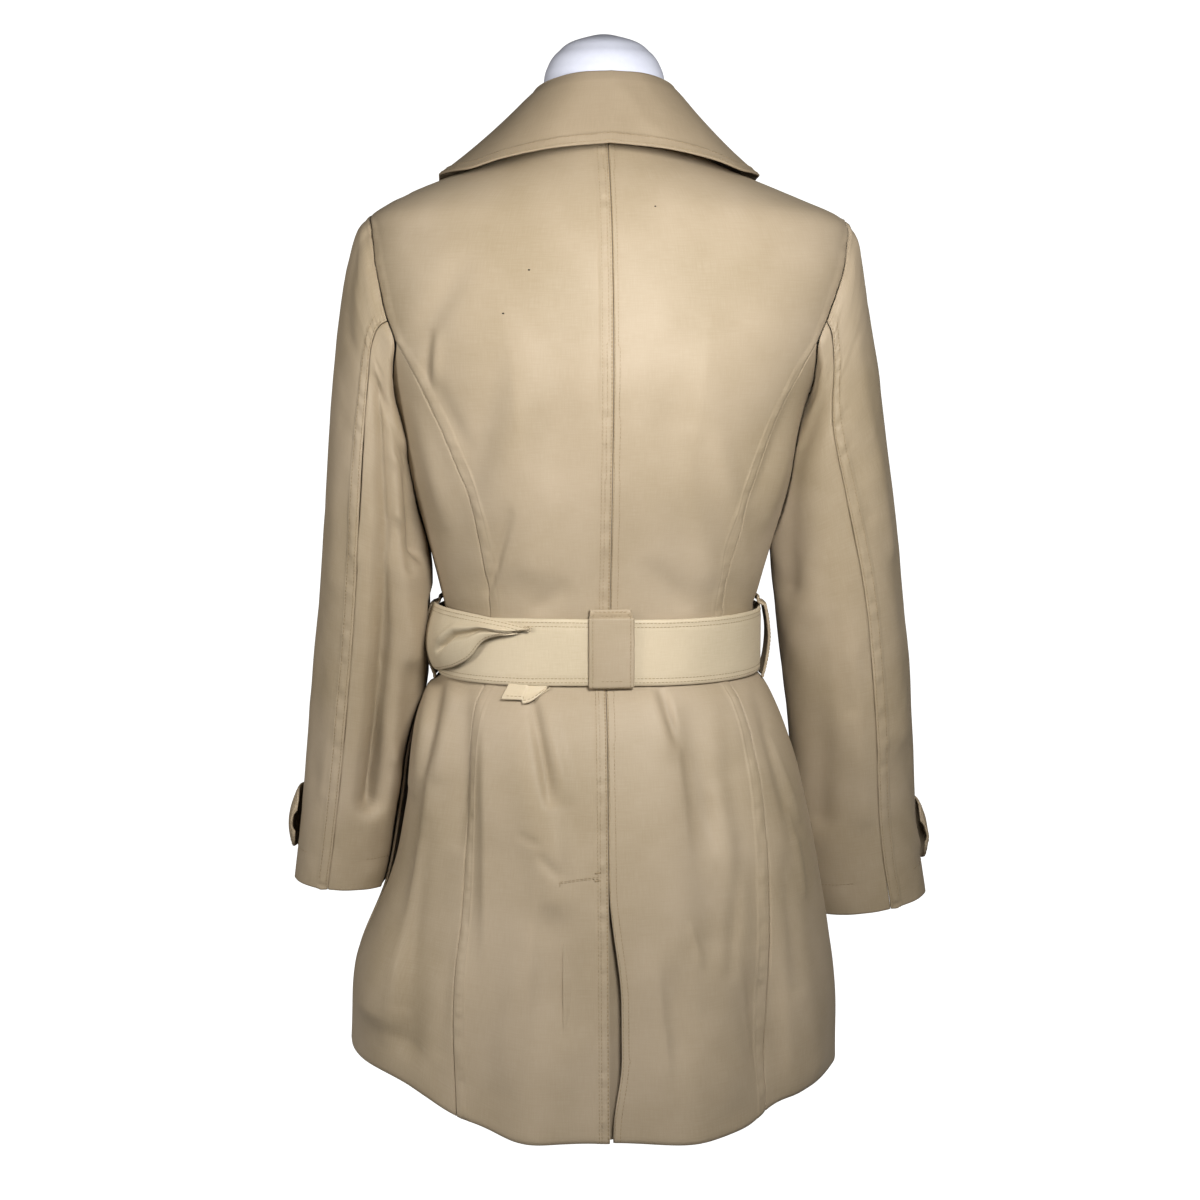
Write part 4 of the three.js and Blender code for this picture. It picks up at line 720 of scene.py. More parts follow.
def collar_sheet(t, v, fold_share=0.4):
    """Up the stand for v below 0.4, then over the fold and down the fall, which bulges by 1.5 mm."""
    seam, fold, edge = (collar_point(t, part) for part in ("seam", "fold", "edge"))
    up = np.minimum(v / fold_share, 1)
    stand = seam + (fold - seam) * (np.sin(up * np.pi / 2) * 0.25 + up * 0.75)[..., None]
    down = np.clip((v - fold_share) / (1 - fold_share), 0, 1)
    away = np.stack([edge[..., 0] - seam[..., 0] * 0.6, edge[..., 1] - seam[..., 1] * 0.6, 18 + 0 * t], -1)
    away /= np.linalg.norm(away, axis=-1, keepdims=True)
    start = fold + away * (2.4 * np.sqrt(np.minimum(1, down * 7)))[..., None]
    fall = start + (edge - start) * down[..., None] + away * (1.5 * np.sin(np.pi * down))[..., None]
    return np.where((v < fold_share)[..., None], stand, fall)


t = np.linspace(-1, 1, 241)[:, None]
v = np.concatenate([np.linspace(0, 0.385, 12), np.linspace(0.39, 0.5, 18), np.linspace(0.515, 0.9, 26),
                    np.linspace(0.91, 1, 16)])[None, :]
t, v = np.broadcast_arrays(t, v)
base = collar_sheet(t, v)
to_edge = np.linalg.norm(base - base[:, -1:], axis=-1)
along = t * 210
fall = smoothstep(0.42, 0.6, v)
relief = fall * (0.5 * (1 - smoothstep(7.5, 9.5, to_edge)) + 0.22 * wander(along, 7, 5) * np.exp(-((to_edge - 5) / 3) ** 2))
relief = relief + fall * 0.7 * wander(along + to_edge * 0.8, 46, 9) * smoothstep(0, 30, to_edge)
relief = relief + fall * 0.9 * np.exp(-((along + 34 - to_edge * 0.5) / 9) ** 2) * smoothstep(6, 20, to_edge)
grid = base + normals_of(base) * relief[..., None]
piece, area = cloth_wall("collar_cloth", grid, flat_uv(grid), collar_sateen_painted_shade, replaces=["collar"])
n = normals_of(grid)
for target in (1.9, 7.6):
    edge_row(grid, n, "v1", target)
    edge_row(grid[:, 30:], n[:, 30:], "u0", target)
    edge_row(grid[:, 30:], n[:, 30:], "u1", target)
finish_stitches("collar_stitches")

# %% [markdown]
# ## Sleeves
# A two-piece sleeve bends forward a little like an arm at rest. Each ring is an ellipse through two guide lines, and near
# the top it turns into the curve of the armhole. Folds are kept in the ring's own angle and length, so that
# they run round the arm when they have to. The seam at the back is pressed towards the outside and stitched twice.

# %% Sizes of the sleeves
# Columns: s from the armhole to the cuff; outer x and z, inner x and z, depth of the back and of the front.
SLEEVES = {
    "left": dict(side=1, rows=[
        (0, 183, 745, 172, 600, 58, -70), (0.05, 194, 736, 170, 595, 60, -72), (0.12, 204, 706, 164, 582, 60, -72),
        (0.22, 213, 655, 150, 556, 58, -70), (0.36, 221, 578, 141, 512, 54, -68), (0.54, 229, 470, 138, 435, 44, -70),
        (0.74, 241, 349, 147, 330, 28, -78), (0.9, 251, 250, 163, 241, 14, -84), (1, 258, 191, 173, 187, 8, -88)],
        seam=curve([0, 0.05, 0.1, 0.2, 0.3, 1], [100, 97, 91, 79, 74, 72]),
        # Columns: s and angle of the start, s and angle of the end, width in mm, depth in mm.
        folds=[(0.21, 97, 0.86, 108, 11, -20), (0.28, 132, 0.46, 144, 12, -15),
               (0.55, 118, 0.8, 150, 14, -6),
               (0.45, 98, 0.64, 135, 12, 6), (0.2, 104, 0.42, 112, 8, 5), (0.66, 96, 0.84, 112, 6, -4),
               (0.16, 100, 0.3, 118, 6, -2.6), (0.2, 84, 0.36, 150, 7, 2.4), (0.34, 112, 0.5, 128, 6, -3.2),
               (0.5, 90, 0.66, 100, 5, -2.2), (0.66, 92, 0.8, 128, 6, 2.0), (0.05, 30, 0.2, 44, 10, -1.6),
               (0.3, 28, 0.56, 40, 13, 1.8), (0.62, 20, 0.84, 34, 12, -1.8), (0.7, 60, 0.86, 52, 7, 1.4),
               (0.4, 60, 0.52, 66, 6, 1.4), (0.86, 104, 0.97, 120, 9, 1.4), (0.4, -60, 0.55, -40, 12, -2.4),
               (0.5, -90, 0.62, -50, 10, 2.0), (0.1, -60, 0.3, -40, 14, -2.0)]),
    "right": dict(side=-1, rows=[
        (0, 194, 745, 172, 600, 58, -70), (0.05, 204, 733, 170, 595, 60, -72), (0.12, 214, 700, 164, 582, 60, -72),
        (0.22, 227, 645, 150, 556, 58, -70), (0.36, 240, 567, 141, 506, 54, -68), (0.54, 256, 452, 150, 420, 44, -70),
        (0.74, 270, 328, 165, 308, 28, -78), (0.9, 279, 230, 174, 211, 14, -84), (1, 289, 168, 186, 152, 8, -88)],
        seam=curve([0, 0.2, 0.4, 0.6, 1], [100, 100, 86, 77, 77]),
        folds=[(0.2, 130, 0.5, 150, 14, -6), (0.58, 120, 0.85, 135, 14, -6), (0.4, 60, 0.75, 50, 16, 4),
               (0.18, 64, 0.5, 42, 8, 2.0), (0.26, 84, 0.44, 66, 6, -1.4), (0.5, 112, 0.7, 100, 7, -2.0),
               (0.62, 96, 0.86, 90, 7, 1.6), (0.1, 118, 0.24, 140, 8, 2.0), (0.84, 60, 0.93, 16, 5, 1.4),
               (0.88, 64, 0.955, 18, 5, -1.2), (0.8, 40, 0.91, 8, 5, -1.2), (0.3, 20, 0.6, 30, 13, -1.4),
               (0.45, -60, 0.6, -40, 12, -2.4), (0.52, -90, 0.66, -50, 10, 2.0), (0.1, -60, 0.3, -40, 14, -2.0)])}
FRONT_SLEEVE_SEAM, SLEEVE_LENGTH, SLEEVE_RADIUS, SLEEVE_LIFT, BELT_STACK = -110, 590, 48, 0.5, 8.8
for spec in SLEEVES.values():
    spec["guide"] = curves(["out_x", "out_z", "in_x", "in_z", "back", "front"], spec["rows"])


def belt_radius(angle):
    """Just outside the widest of the body behind the belt, and further out over the lap of the fronts."""
    heights = np.linspace(WAIST_Z - BELT_HEIGHT / 2 - 2, WAIST_Z + BELT_HEIGHT / 2 + 2, 7)
    widest = np.max([body_radius(angle, h) for h in heights], axis=0)
    from_front = np.abs(np.abs(angle) - np.pi)
    return widest + 1 + OVERLAP_STEP * (1 - smoothstep(np.radians(22), np.radians(48), from_front))


def sleeve_unfolded(spec, s, angle):
    """Ellipse through the guide lines, plus what is left of the armhole's own curve: 1 at the armhole, 0 at s = 0.22."""
    def ellipse(s):
        g = {key: f(s) for key, f in spec["guide"].items()}
        c, d = np.cos(angle), np.sin(angle)
        return np.stack([spec["side"] * ((g["out_x"] + g["in_x"]) / 2 + (g["out_x"] - g["in_x"]) / 2 * c),
                         (g["back"] + g["front"]) / 2 + (g["back"] - g["front"]) / 2 * d,
                         (g["out_z"] + g["in_z"]) / 2 + (g["out_z"] - g["in_z"]) / 2 * c], -1)
    z = (SHOULDER_Z + UNDERARM_Z) / 2 + (SHOULDER_Z - UNDERARM_Z) / 2 * np.cos(angle)
    edge = np.where(np.sin(angle) >= 0, armhole_back(z), armhole_front(z))
    hole = on_body(spec["side"] * np.radians(edge), z)
    p = ellipse(s) + (hole - ellipse(0 * s)) * (1 - smoothstep(0, 0.22, s))[..., None]
    p[..., 0] += spec["side"] * SLEEVE_LIFT
    return p


def sleeve_point(spec, s, angle, out=0.0):
    """The unfolded sleeve moved by its folds along its normal, then kept outside the coat's body and belt."""
    s, angle, out = np.broadcast_arrays(np.asarray(s, float), np.asarray(angle, float), np.asarray(out, float))
    across = sleeve_unfolded(spec, s, angle + 0.05) - sleeve_unfolded(spec, s, angle - 0.05)
    along = sleeve_unfolded(spec, np.minimum(1, s + 0.01), angle) - sleeve_unfolded(spec, np.maximum(0, s - 0.01), angle)
    n = np.cross(along, across)
    n *= spec["side"] / np.linalg.norm(n, axis=-1, keepdims=True)
    mm = SLEEVE_RADIUS * np.pi / 180
    folds = sum(f[5] * fold_strength(s * SLEEVE_LENGTH, np.degrees(angle) * mm, f[0] * SLEEVE_LENGTH, f[1] * mm,
                                     f[2] * SLEEVE_LENGTH, f[3] * mm, f[4]) for f in spec["folds"])
    p = sleeve_unfolded(spec, s, angle) + n * (folds * smoothstep(0, 0.08, s) + out)[..., None]
    turn, z = np.arctan2(p[..., 0], p[..., 1]), p[..., 2]
    beside = 1 - smoothstep(BELT_HEIGHT / 2 + 4, BELT_HEIGHT / 2 + 30, np.abs(z - WAIST_Z))
    plain = body_radius(turn, z)
    least = np.maximum(plain, belt_radius(turn) + BELT_STACK) * beside + plain * (1 - beside) + 1.6
    push = np.where((z > SHOULDER_Z - 4) | (s <= 0.01), 1, np.maximum(1, least / np.hypot(p[..., 0], p[..., 1])))
    return p * np.stack([push, push, np.ones_like(push)], -1)


print("sleeves:", {name: len(spec["folds"]) for name, spec in SLEEVES.items()}, "folds")

# %% Top sleeves, under sleeves
def arc_from(grid):
    """Length along axis 0 from the first row."""
    step = np.linalg.norm(np.diff(grid, axis=0), axis=-1)
    return np.concatenate([np.zeros((1, grid.shape[1])), np.cumsum(step, axis=0)])


def sleeve_panel(label, spec, name, start, end, width, band, seed):
    s = np.concatenate([np.linspace(0, 0.03, 8), np.linspace(0.036, 0.985, 158), np.linspace(0.989, 1, 5)])[None, :]
    u = columns_for(width, 2.8)[:, None]
    a, b = np.radians(start(s)) + 0.15 / SLEEVE_RADIUS, np.radians(end(s)) - 0.15 / SLEEVE_RADIUS
    angle = a + (b - a) * u
    base = sleeve_point(spec, s, angle)
    from_start = arc_from(base)
    from_end = from_start[-1:] - from_start
    along = np.broadcast_to(s * SLEEVE_LENGTH, angle.shape)
    relief = seam_relief(from_start, along, seed) + seam_relief(from_end, along, seed + 5, band)
    relief = relief + 1.0 * wander(along * 0.4 + from_start, 21, seed) * wander(along, 44, seed + 2) * smoothstep(0, 40, along)
    relief = relief + 0.35 * wander(along * 0.6 - from_start, 11, seed + 3) * wander(along, 25, seed + 4)
    relief = relief - 0.5 * np.exp(-((along - 562) / 1.6) ** 2) - 0.6 * np.exp(-(along / 1.4) ** 2)
    relief = relief + 0.9 * np.exp(-((along - 6) / 5) ** 2) * smoothstep(0.2, 0.8, np.cos(angle))
    n = normals_of(base)
    outward = -spec["side"]
    grid = base + n * outward * relief[..., None]
    piece, area = cloth_wall(f"{label}_{name}_cloth", grid, flat_uv(grid), coat_sateen, outward=outward,
                             replaces=[f"{label}_{name}"])
    n = normals_of(grid) * outward
    for target in (1.7, band - 1.5) if band else ():
        edge_row(grid, n, "u1", target)
    edge_row(grid, n, "v1", 28, pitch=3.4)
    return grid, n


for name, spec in SLEEVES.items():
    seam, front = spec["seam"], lambda s: FRONT_SLEEVE_SEAM + 0 * s
    sleeve_panel("top_sleeve", spec, name, front, seam, 165, 10, 71)
    sleeve_panel("under_sleeve", spec, name, seam, lambda s: FRONT_SLEEVE_SEAM + 360 + 0 * s, 150, 0, 83)
finish_stitches("sleeve_stitches")

# %% [markdown]
# ## Cuff tabs and buttons
# A tab is buttoned at its front end and its round end faces back, and it arches off the sleeve between. A button
# is turned: a rim, a dished middle and four holes. Each hole is a dimple in the same surface, with thread across.

# %% Cuff tabs
def button(name, node, at, out, radius):
    """Rings of points of radius r and height h(r), with four dimples, closed by a flat back."""
    out = out / np.linalg.norm(out)
    side = np.cross(out, [0.0, 0.0, 1.0])
    side /= np.linalg.norm(side)
    up = np.cross(side, out)
    top_r = np.linspace(0.02, 0.9, 26)
    top_h = 2.4 + 0.8 * np.exp(-((top_r - 0.86) / 0.09) ** 2)
    r = np.concatenate([top_r, [0.95, 0.985, 1.0, 1.0, 0.985, 0.93, 0.8, 0.4, 0.02]]) * radius
    h = np.concatenate([top_h, [3.05, 2.75, 2.4, 1.2, 0.7, 0.25, 0.05, 0.05, 0.05]])
    turn = np.linspace(0, 2 * np.pi, 65)[:-1]
    x, y = r[:, None] * np.cos(turn), r[:, None] * np.sin(turn)
    height = h[:, None] + 0 * x
    for k in range(4):
        hx, hy = radius * 0.2 * np.cos(k * np.pi / 2 + np.pi / 4), radius * 0.2 * np.sin(k * np.pi / 2 + np.pi / 4)
        dimple = 1.6 * np.exp(-(((x - hx) ** 2 + (y - hy) ** 2) / (radius * 0.075) ** 2) ** 2)
        height[:26] -= dimple[:26]
    points = at + x[..., None] * side + y[..., None] * up + height[..., None] * out
    rings, segments = r.size, turn.size
    i, j = np.meshgrid(np.arange(rings - 1), np.arange(segments), indexing="ij")
    a, b = (i * segments + j).ravel(), (i * segments + (j + 1) % segments).ravel()
    faces = np.stack([a, a + segments, b + segments, b], 1).tolist()
    faces += [list(range(segments)), list(range(rings * segments - 1, (rings - 1) * segments - 1, -1))]
    flat = points.reshape(-1, 3)
    piece = mesh_piece(name, flat, faces, np.stack([x.ravel(), y.ravel()], 1), horn)
    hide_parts(node)
    for sign in (1, -1):
        t = np.linspace(-1, 1, 9)[:, None] * radius * 0.2
        path = at + (side * 0.7071 + up * 0.7071 * sign) * t + out * (2.75 - 0.5 * (t / (radius * 0.2)) ** 2)
        stitch_row(path, np.repeat(out[None, :], 9, 0), pitch=1.2, length=1.6, width=0.6, height=0.6)


for name, spec in SLEEVES.items():
    u, v = np.linspace(0, 1, 70)[:, None], np.linspace(0, 1, 32)[None, :]
    point = np.sqrt(np.maximum(0, 1 - np.maximum(0, (u - 0.72) / 0.28) ** 2))
    s = 0.915 + (v * 2 - 1) * 0.046 * (0.35 + 0.65 * point)
    stand = 0.9 + 8 * np.sin(np.pi * np.minimum(1, u * 0.72)) * (1 - 0.75 * (v * 2 - 1) ** 2)
    grid = sleeve_point(spec, s, np.radians(-88 + 100 * u), stand + WALL)
    outward = -spec["side"]
    piece, area = cloth_wall(f"cuff_tab_{name}_cloth", grid, flat_uv(grid), coat_sateen, outward=outward,
                             replaces=[f"cuff_tab_{name}"])
    n = normals_of(grid) * outward
    for target in (1.7, 5.0):
        edge_row(grid, n, "v0", target)
        edge_row(grid, n, "v1", target)
        edge_row(grid, n, "u1", target)
    rise = 0.5 + WALL + 0.3 + 8 * np.sin(np.pi * 0.135) + 0.4
    at, far = sleeve_point(spec, 0.915, np.radians(-72), rise), sleeve_point(spec, 0.915, np.radians(-72), 40)
    button(f"cuff_button_{name}_turned", f"cuff_button_{name}", at, far - at, 8.25)

for i, z in enumerate((330, 470, 240)):
    for name, x in (("left", 46), ("right", -46)):
        angle = front_angle(np.array(x), np.array(z))
        at, out = body_point(angle, z, 0.5 + OVERLAP_STEP)
        button(f"front_button_{name}_{i + 1}_turned", f"front_button_{name}_{i + 1}", at, out, 11)
finish_stitches("tab_and_button_stitches")

# %% [markdown]
# ## Belt
# The belt is one long strip, stitched twice near each edge. Behind the left hip it takes half a turn: the turned layer
# comes over the band from the left, narrows along a curved valley and ends under its own lower edge. Below it
# a corner of the layer underneath shows. The carriers are sewn to the coat above and below and bridge the belt.

# %% Band, twist, tuck and tail
LOW, HIGH = WAIST_Z - BELT_HEIGHT / 2, WAIST_Z + BELT_HEIGHT / 2


def belt_point(angle, z, out):
    r = belt_radius(angle) + out
    return np.stack(np.broadcast_arrays(r * np.sin(angle), r * np.cos(angle), z), -1)


def belt_piece(node, grid, rows=()):
    n = normals_of(grid)
    outward = 1 if (n[..., :2] * grid[..., :2]).sum() > 0 else -1
    piece, area = cloth_wall(node + "_cloth", grid, flat_uv(grid), belt_sateen_painted_highlight,
                             wall=BELT_THICKNESS - 0.2, outward=outward, replaces=[node])
    for side, target in rows:
        edge_row(grid, n * outward, side, target)
    return grid


u, v = np.radians(np.linspace(-178.5, 178.5, 420))[:, None], np.linspace(0, 1, 29)[None, :]
away = np.minimum(v, 1 - v) * BELT_HEIGHT
relief = -0.5 * np.exp(-((away - 2.6) / 1.1) ** 2) - 0.4 * np.exp(-((away - 5.4) / 0.9) ** 2) - 0.5 * np.exp(-away / 0.6)
relief = relief + 0.35 * wander(np.degrees(u) * 2.2 + v * 9, 17, 31) * smoothstep(3, 10, away)
relief = relief + 0.8 * np.exp(-((np.degrees(u) - 37 + 6 * v) / 3.2) ** 2) - 0.7 * np.exp(-((np.degrees(u) - 27 + 10 * v) / 4.5) ** 2)
sag = 1.2 * np.sin(u * 3 + 0.6) + 1.4 * np.exp(-((np.degrees(u) - 34) / 16) ** 2) * (v - 0.5)
both = [(side, target) for side in ("v0", "v1") for target in (2.4, 5.6)]
belt_piece("belt", belt_point(u, LOW + v * BELT_HEIGHT + sag * 0.6, BELT_THICKNESS + relief),
           both)

u, v = np.linspace(0, 1, 120)[:, None], np.linspace(0, 1, 46)[None, :]
top = HIGH + 5 - 11 * u ** 3
bottom = LOW + curve([0, 0.1, 0.3, 0.46, 0.57, 0.66, 0.8, 1], [2, 3, 7, 13, 21, 33, 40, 45.2])(u)
puff = 7 * np.sin(np.pi * v ** 0.8) * (1 - 0.6 * u) + 3 * (1 - v) * smoothstep(0.15, 0.35, u) * smoothstep(1.0, 0.8, u)
valley = curve([0, 0.25, 0.32, 0.46, 0.61, 0.75, 0.9, 1], [0.2, 0.3, 0.37, 0.55, 0.53, 0.35, 0.08, 0])(u)
hook = smoothstep(0.22, 0.36, u) * smoothstep(0.95, 0.8, u)
puff = puff - 7.5 * hook * np.exp(-((v - valley) / 0.055) ** 2) + 2.2 * hook * np.exp(-((v - valley - 0.16) / 0.07) ** 2)
edge = -0.5 * np.exp(-((1 - v) * 50 / 1.2) ** 2)
belt_piece("belt_twist", belt_point(np.radians(86 - 53 * u), bottom + (top - bottom) * v,
                                    2 * BELT_THICKNESS + 0.5 + np.maximum(puff, 0.1) + edge),
           [("v1", 2.4), ("v1", 5.6), ("v0", 2.2)])

u, v = np.linspace(0, 1, 50)[:, None], np.linspace(0, 1, 18)[None, :]
square_end = LOW - 12
low_edge = np.where(u < 0.5, square_end, square_end - 2 + (LOW - 3 - square_end + 2) * (np.clip(u - 0.5, 0, 1) / 0.5) ** 2)
height = low_edge + (LOW - 1.4 - low_edge) * v
tuck = body_point(np.radians(43 - 15.5 * u), height, 2.7 + 1.4 * smoothstep(0.52, 0.46, u) + 0.6 * np.sin(v * 9) * u)[0]
belt_piece("belt_tuck", tuck, [("v0", 2.2)])

u, v = np.linspace(0, 1, 130)[:, None], np.linspace(0, 1, 26)[None, :]
tip = 1 - 0.5 * np.maximum(0, (u - 0.86) / 0.14)
height = WAIST_Z + (v - 0.5) * (BELT_HEIGHT - 2) * tip - 6 * u
belt_piece("belt_tail", belt_point(np.radians(176 - 58 * u), height, 2 * BELT_THICKNESS + 0.5 + 0.4 * np.sin(u * 14)),
           both + [("u1", 2.4)])

# %% Buckle
turn = np.linspace(0, 2 * np.pi, 161)[:-1]
corner = lambda half, t: np.sign(t) * half * np.abs(t) ** 0.35
px, pz = corner(20, np.cos(turn)), corner(30, np.sin(turn))
path = np.stack([px, pz], 1)
tangent = np.roll(path, -1, 0) - np.roll(path, 1, 0)
tangent /= np.linalg.norm(tangent, axis=1, keepdims=True)
across = np.stack([tangent[:, 1], -tangent[:, 0]], 1)
k = np.linspace(0, 2 * np.pi, 19)[:-1]
wide = np.sign(np.cos(k)) * np.abs(np.cos(k)) ** 0.7 * 3
deep = np.sign(np.sin(k)) * np.abs(np.sin(k)) ** 0.7 * 2
front_y = -(belt_radius(np.array(np.pi)) + 2 * BELT_THICKNESS + 0.9)
points = np.stack([path[:, None, 0] + across[:, None, 0] * wide, front_y - 2 - deep + 0 * path[:, None, 0],
                   WAIST_Z + path[:, None, 1] + across[:, None, 1] * wide], -1)
i, j = np.meshgrid(np.arange(160), np.arange(18), indexing="ij")
a, b = i * 18 + j, ((i + 1) % 160) * 18 + j
c, d = ((i + 1) % 160) * 18 + (j + 1) % 18, i * 18 + (j + 1) % 18
faces = np.stack([a.ravel(), b.ravel(), c.ravel(), d.ravel()], 1)
flat = points.reshape(-1, 3)
volume = np.einsum("ij,ij->i", flat[faces[:, 0]], np.cross(flat[faces[:, 1]], flat[faces[:, 2]])).sum()
faces = faces if volume > 0 else faces[:, ::-1]
buckle = mesh_piece("buckle_covered", flat, faces.tolist(), flat[:, [0, 2]], leather)
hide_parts("buckle")
print("buckle:", len(faces) * 2, "triangles")

# %% Carriers
CARRIERS = [("belt_loop_back", 0, 0.8, -28.4), ("belt_loop_left", 95, 7.5, -32), ("belt_loop_right", -86, 5, -32)]
for name, degrees, stand, low_end in CARRIERS:
    carrier_out = curve([low_end, low_end + 0.6, low_end + 2, -20, 20, 28, 31, 34], [0, 0.3, 1, 1, 1, 1, 0.2, 0])
    middle = np.radians(degrees)
    half = 15.4 / float(plain_radius(middle, WAIST_Z))
    u, v = np.linspace(-1, 1, 30)[:, None], np.linspace(0, 1, 80)[None, :]
    angle, z = middle + half * u, WAIST_Z + low_end + (34 - low_end) * v
    bridge = belt_radius(angle) + BELT_THICKNESS + 0.9 + stand * np.sin(np.pi * v)
    sewn = body_radius(angle, z) + 1.6
    r = sewn + (bridge - sewn) * carrier_out(z - WAIST_Z) + 2.2 + 0.25 * wander(z + 4 * u, 9, 4)
    grid = np.stack([r * np.sin(angle), r * np.cos(angle), z + 0 * angle], -1)
    piece, area = cloth_wall(name + "_cloth", grid, flat_uv(grid), coat_sateen, wall=2.2,
                             outward=1 if (normals_of(grid) * grid)[..., :2].sum() > 0 else -1, replaces=[name])
    n = normals_of(grid) * np.sign((normals_of(grid) * grid)[..., :2].sum())
    for side in ("u0", "u1"):
        edge_row(grid, n, side, 2.6)
    for side in ("v0", "v1"):
        for target in (1.6, 2.4, 8.0):
            edge_row(grid, n, side, target)
finish_stitches("belt_stitches")

# %% [markdown]
# ## Dress form
# The coat is shown on a moulded form without limbs. Its shoulders carry the coat and its neck stands in the collar with a
# smooth domed top. The torso follows the coat's own sections from inside, and goes over into the round neck.

# %% Torso with neck, stem and foot
inset = curve([150, 200, 262, 330, 400, 480, 580, 640, 700, 735, 745, 752, 795],
              [52, 38, 29, 23, 9, 7, 8, 8, 6.5, 7.8, 4.2, 2.2, 2.2])
drop = curve([150, 640, 700, 735, 745, 752, 795], [0, 0, 1, 2.8, 3.2, 3.4, 3.2])
neck_radius = curve([799, 807, 822, 845, 862, 876, 886, 890], [60, 54.5, 50.5, 49.5, 47, 38, 23, 9])
neck_y = curve([799, 807, 822, 845, 862, 876, 886, 890], [4, 2, -2, -6, -8, -9, -10, -10])
NECK_LEAN = 4
turn = np.linspace(0, 2 * np.pi, 129)[:-1][None, :]
z = np.concatenate([np.arange(150, 740, 8), np.linspace(742, NECK_Z, 24)])[:, None]
r = plain_radius(turn, z) - inset(z)
torso = np.stack([r * np.sin(turn), r * np.cos(turn), z - drop(z) + body["lift"](z) * np.cos(turn)], -1)
z = np.concatenate([np.linspace(799, 860, 26), np.linspace(862, 889.5, 26)])[:, None]
rn = neck_radius(z)
lean = 8 * np.maximum(0, 1 - (z - 797) / 30)
neck = np.stack([rn * np.sin(turn) - NECK_LEAN, rn * np.cos(turn) + neck_y(z), z + lean * np.cos(turn)], -1)
shares = np.array([0.75, 0.5, 0.25, 0.1])[:, None, None]
dome = np.array([-NECK_LEAN, -10, 891.0]) + (neck[-1:] - [-NECK_LEAN, -10, 891.0]) * np.concatenate([shares, shares, 1 - (1 - shares) * 0 - 1 + shares ** 2], -1)


def closed_rings(name, rings, material, node):
    """Rings joined one to the next, closed by a disc at each end."""
    count, segments = rings.shape[:2]
    i, j = np.meshgrid(np.arange(count - 1), np.arange(segments), indexing="ij")
    a, b = (i * segments + j).ravel(), (i * segments + (j + 1) % segments).ravel()
    faces = np.stack([a, b, b + segments, a + segments], 1)
    flat = rings.reshape(-1, 3)
    volume = np.einsum("ij,ij->i", flat[faces[:, 0]], np.cross(flat[faces[:, 1]], flat[faces[:, 2]])).sum()
    low, high = list(range(segments - 1, -1, -1)), list(range((count - 1) * segments, count * segments))
    faces = faces.tolist() + [low, high]
    if volume < 0:
        faces = [face[::-1] for face in faces]
    piece = mesh_piece(name, flat, faces, flat[:, [0, 2]], material)
    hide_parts(node)
    return piece


closed_rings("form_torso_shell", np.concatenate([torso, neck, dome]), shell, "form_torso")


def lathe_rings(profile, segments=96):
    r, h = np.array(profile, float).T
    turn = np.linspace(0, 2 * np.pi, segments + 1)[:-1][None, :]
    return np.stack([r[:, None] * np.cos(turn), r[:, None] * np.sin(turn), h[:, None] + 0 * turn], -1)


closed_rings("form_stem_tube", lathe_rings([(13.4, 10.3), (14, 11), (14, 149), (13.4, 149.7)]), steel,
             "form_stem")
closed_rings("form_foot_plate", lathe_rings([(96, 0), (97.4, 0.6), (98, 2), (98, 6), (97.4, 7.4), (96, 8), (60, 9.1),
                                             (26, 10), (1, 10)]), steel, "form_foot")
print("form made")

# %% [markdown]
# ## Specks
# Three specks of dark lint lie on the back. They are flat drops of fibre less than 2 mm wide.

# %% Three specks of lint
lint, _, _shader = new_finish("dark lint", 0.9, Base_Color=linear("#2B211A"))
points, faces = [], []
turn = np.linspace(0, 2 * np.pi, 13)[:-1]
for k, (x, z, size) in enumerate(((84, 665, 0.9), (64, 698, 1.0), (-34, 747, 0.9))):
    panel = (back_left, back_left_out) if x > 0 else (back_right, back_right_out)
    middle, n = (value[0] for value in path_on_back(np.array([x]), np.array([z]), *panel))
    side = np.cross(n, [0.0, 0.0, 1.0])
    up = np.cross(side, n)
    for height, wide in ((-0.6, 0.5), (0.1, 1.0), (0.45, 0.6)):
        points.append(middle + size * wide * (np.cos(turn)[:, None] * side + 0.7 * np.sin(turn)[:, None] * up) + height * n)
    first = 36 * k
    for ring in (0, 12):
        faces += [[first + ring + j, first + ring + (j + 1) % 12, first + ring + 12 + (j + 1) % 12, first + ring + 12 + j]
                  for j in range(12)]
    faces += [[first + j for j in range(11, -1, -1)], [first + 24 + j for j in range(12)]]
points = np.concatenate(points)
mesh_piece("lint_specks", points, faces, points[:, [0, 2]], lint)
print("specks: 3")

# %% [markdown]
# ## Camera and light
# The coat was photographed straight from behind with a long lens, lit by large soft lamps on both sides and a
# strong one from above. A lamp close to the subject gives the broad gleam on the shoulder blades. The paper
# behind is lit on its own, so that it burns out to white, while the coat stays at a middle tone.

# %% Camera, lamps and paper
camera = bpy.data.objects.new("camera", bpy.data.cameras.new("camera"))
bpy.context.collection.objects.link(camera)
camera.data.lens, camera.data.sensor_width = 63.0, 36.0
camera.location = (0.15139, 1.73035, 0.64327)
from mathutils import Vector
camera.rotation_euler = (Vector((0, 0, 0.430)) - camera.location).to_track_quat("-Z", "Y").to_euler()
bpy.context.scene.camera = camera


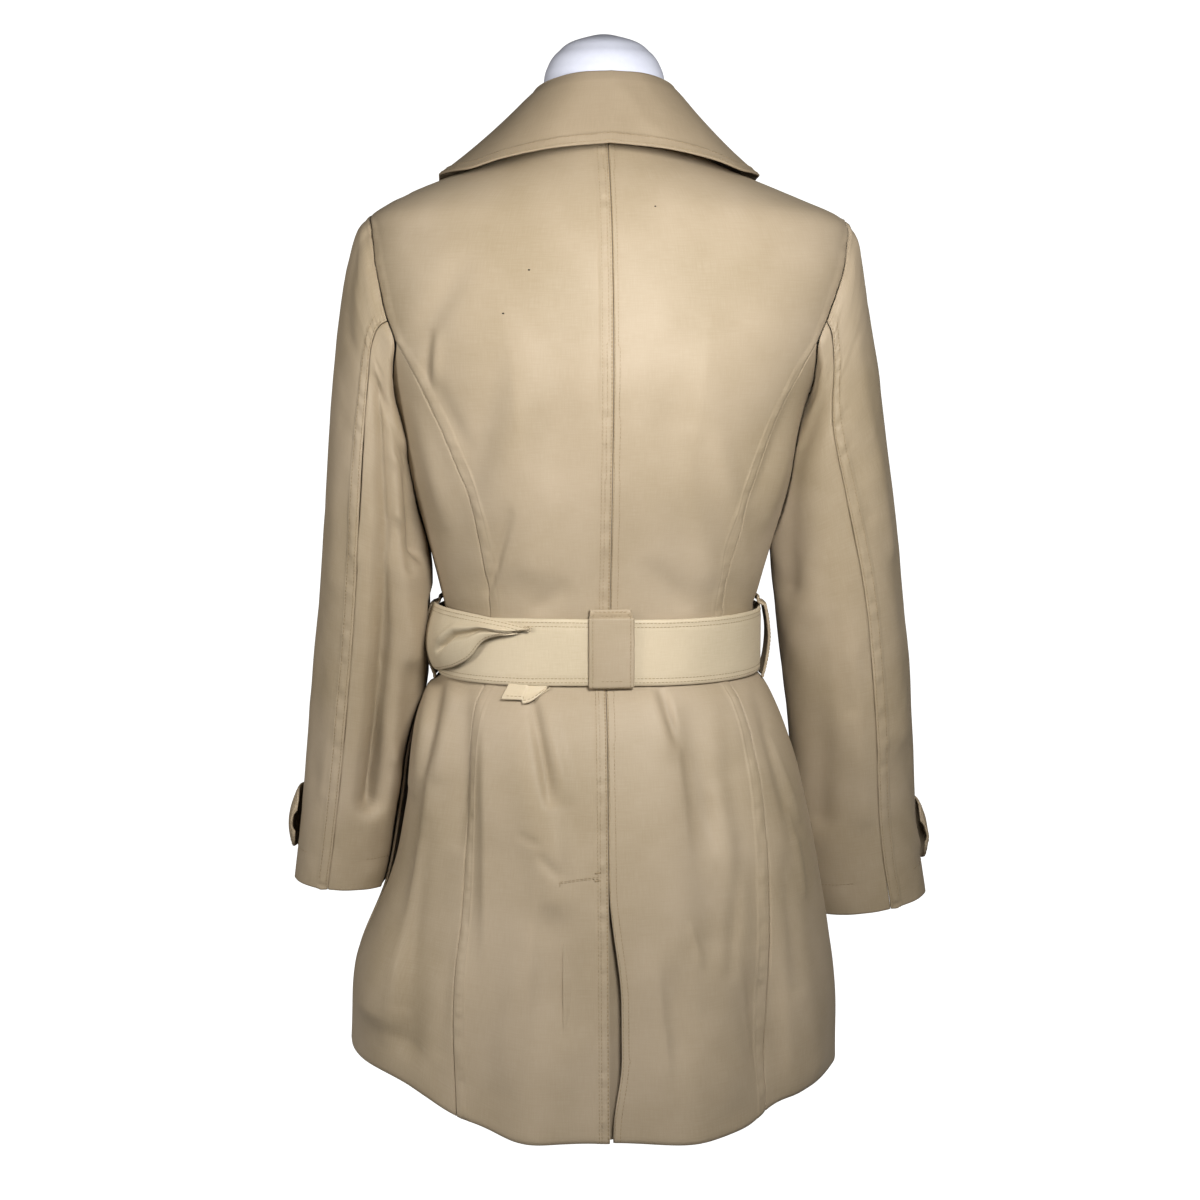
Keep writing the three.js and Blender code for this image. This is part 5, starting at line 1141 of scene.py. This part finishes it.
def lamp(name, place, target, size, watts, tint="#FFFFFF"):
    light = bpy.data.lights.new(name, "AREA")
    light.shape, light.size, light.size_y = "RECTANGLE", size[0], size[1]
    light.energy, light.color = watts, linear(tint)[:3]
    holder = bpy.data.objects.new(name, light)
    holder.location = place
    holder.visible_camera = False
    holder.rotation_euler = (Vector(target) - Vector(place)).to_track_quat("-Z", "Y").to_euler()
    bpy.context.collection.objects.link(holder)
    return holder


lamp("right", (-1.1, 0.8, 0.9), (0, 0, 0.6), (0.4, 0.5), 2.5, "#FFFAF2")
lamp("left", (1.2, 0.75, 0.8), (0.2, 0, 0.5), (0.4, 0.5), 9.5, "#FFFAF2")
lamp("near", (-0.13, 0.8, 0.82), (0, 0, 0.6), (0.22, 0.22), 8.6, "#FFFCF6")
# The paper is seen as white, and throws only a little light back on the coat.
paper, tree, shader = new_finish("seamless paper, pale", 0.9, Base_Color=linear("#8F8F8F"), Emission_Color=linear("#FFFFFF"))
seen = add_node(tree, "ShaderNodeLightPath").outputs["Is Camera Ray"]
glow = add_node(tree, "ShaderNodeMapRange", Value=seen, To_Min=0.04, To_Max=1.15)
tree.links.new(glow.outputs[0], shader.inputs["Emission Strength"])
mesh = bpy.data.meshes.new("paper")
y = np.concatenate([[6.0], np.linspace(-3.2, -4.0, 12), [-4.0]])
z = np.concatenate([[0.0], 0.8 - 0.8 * np.cos(np.linspace(0, np.pi / 2, 12)), [6.0]])
corners = np.stack([np.repeat([[-6.0], [6.0]], y.size, 1).ravel(), np.tile(y, 2), np.tile(z - 0.0006, 2)], 1)
mesh.from_pydata(corners.tolist(), [], [[k, k + 1, k + 1 + y.size, k + y.size] for k in range(y.size - 1)])
mesh.materials.append(paper)
backdrop = bpy.data.objects.new("paper", mesh)
bpy.context.collection.objects.link(backdrop)
backdrop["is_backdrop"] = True
world = bpy.data.worlds.new("room")
bpy.context.scene.world = world
world.use_nodes = True
world.node_tree.nodes["Background"].inputs["Color"].default_value = linear("#FFFFFF")
world.node_tree.nodes["Background"].inputs["Strength"].default_value = 0.06
bpy.context.scene.view_settings.view_transform = "Standard"

# %% [markdown]
# ## Size
# The box of the finished looks is measured and printed.

# %% Boxes and finish
made_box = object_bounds()
({"cad": [list(map(float, corner)) for corner in cad_box],
           "made": [list(map(float, corner)) for corner in made_box]})
print("size:", made_box)
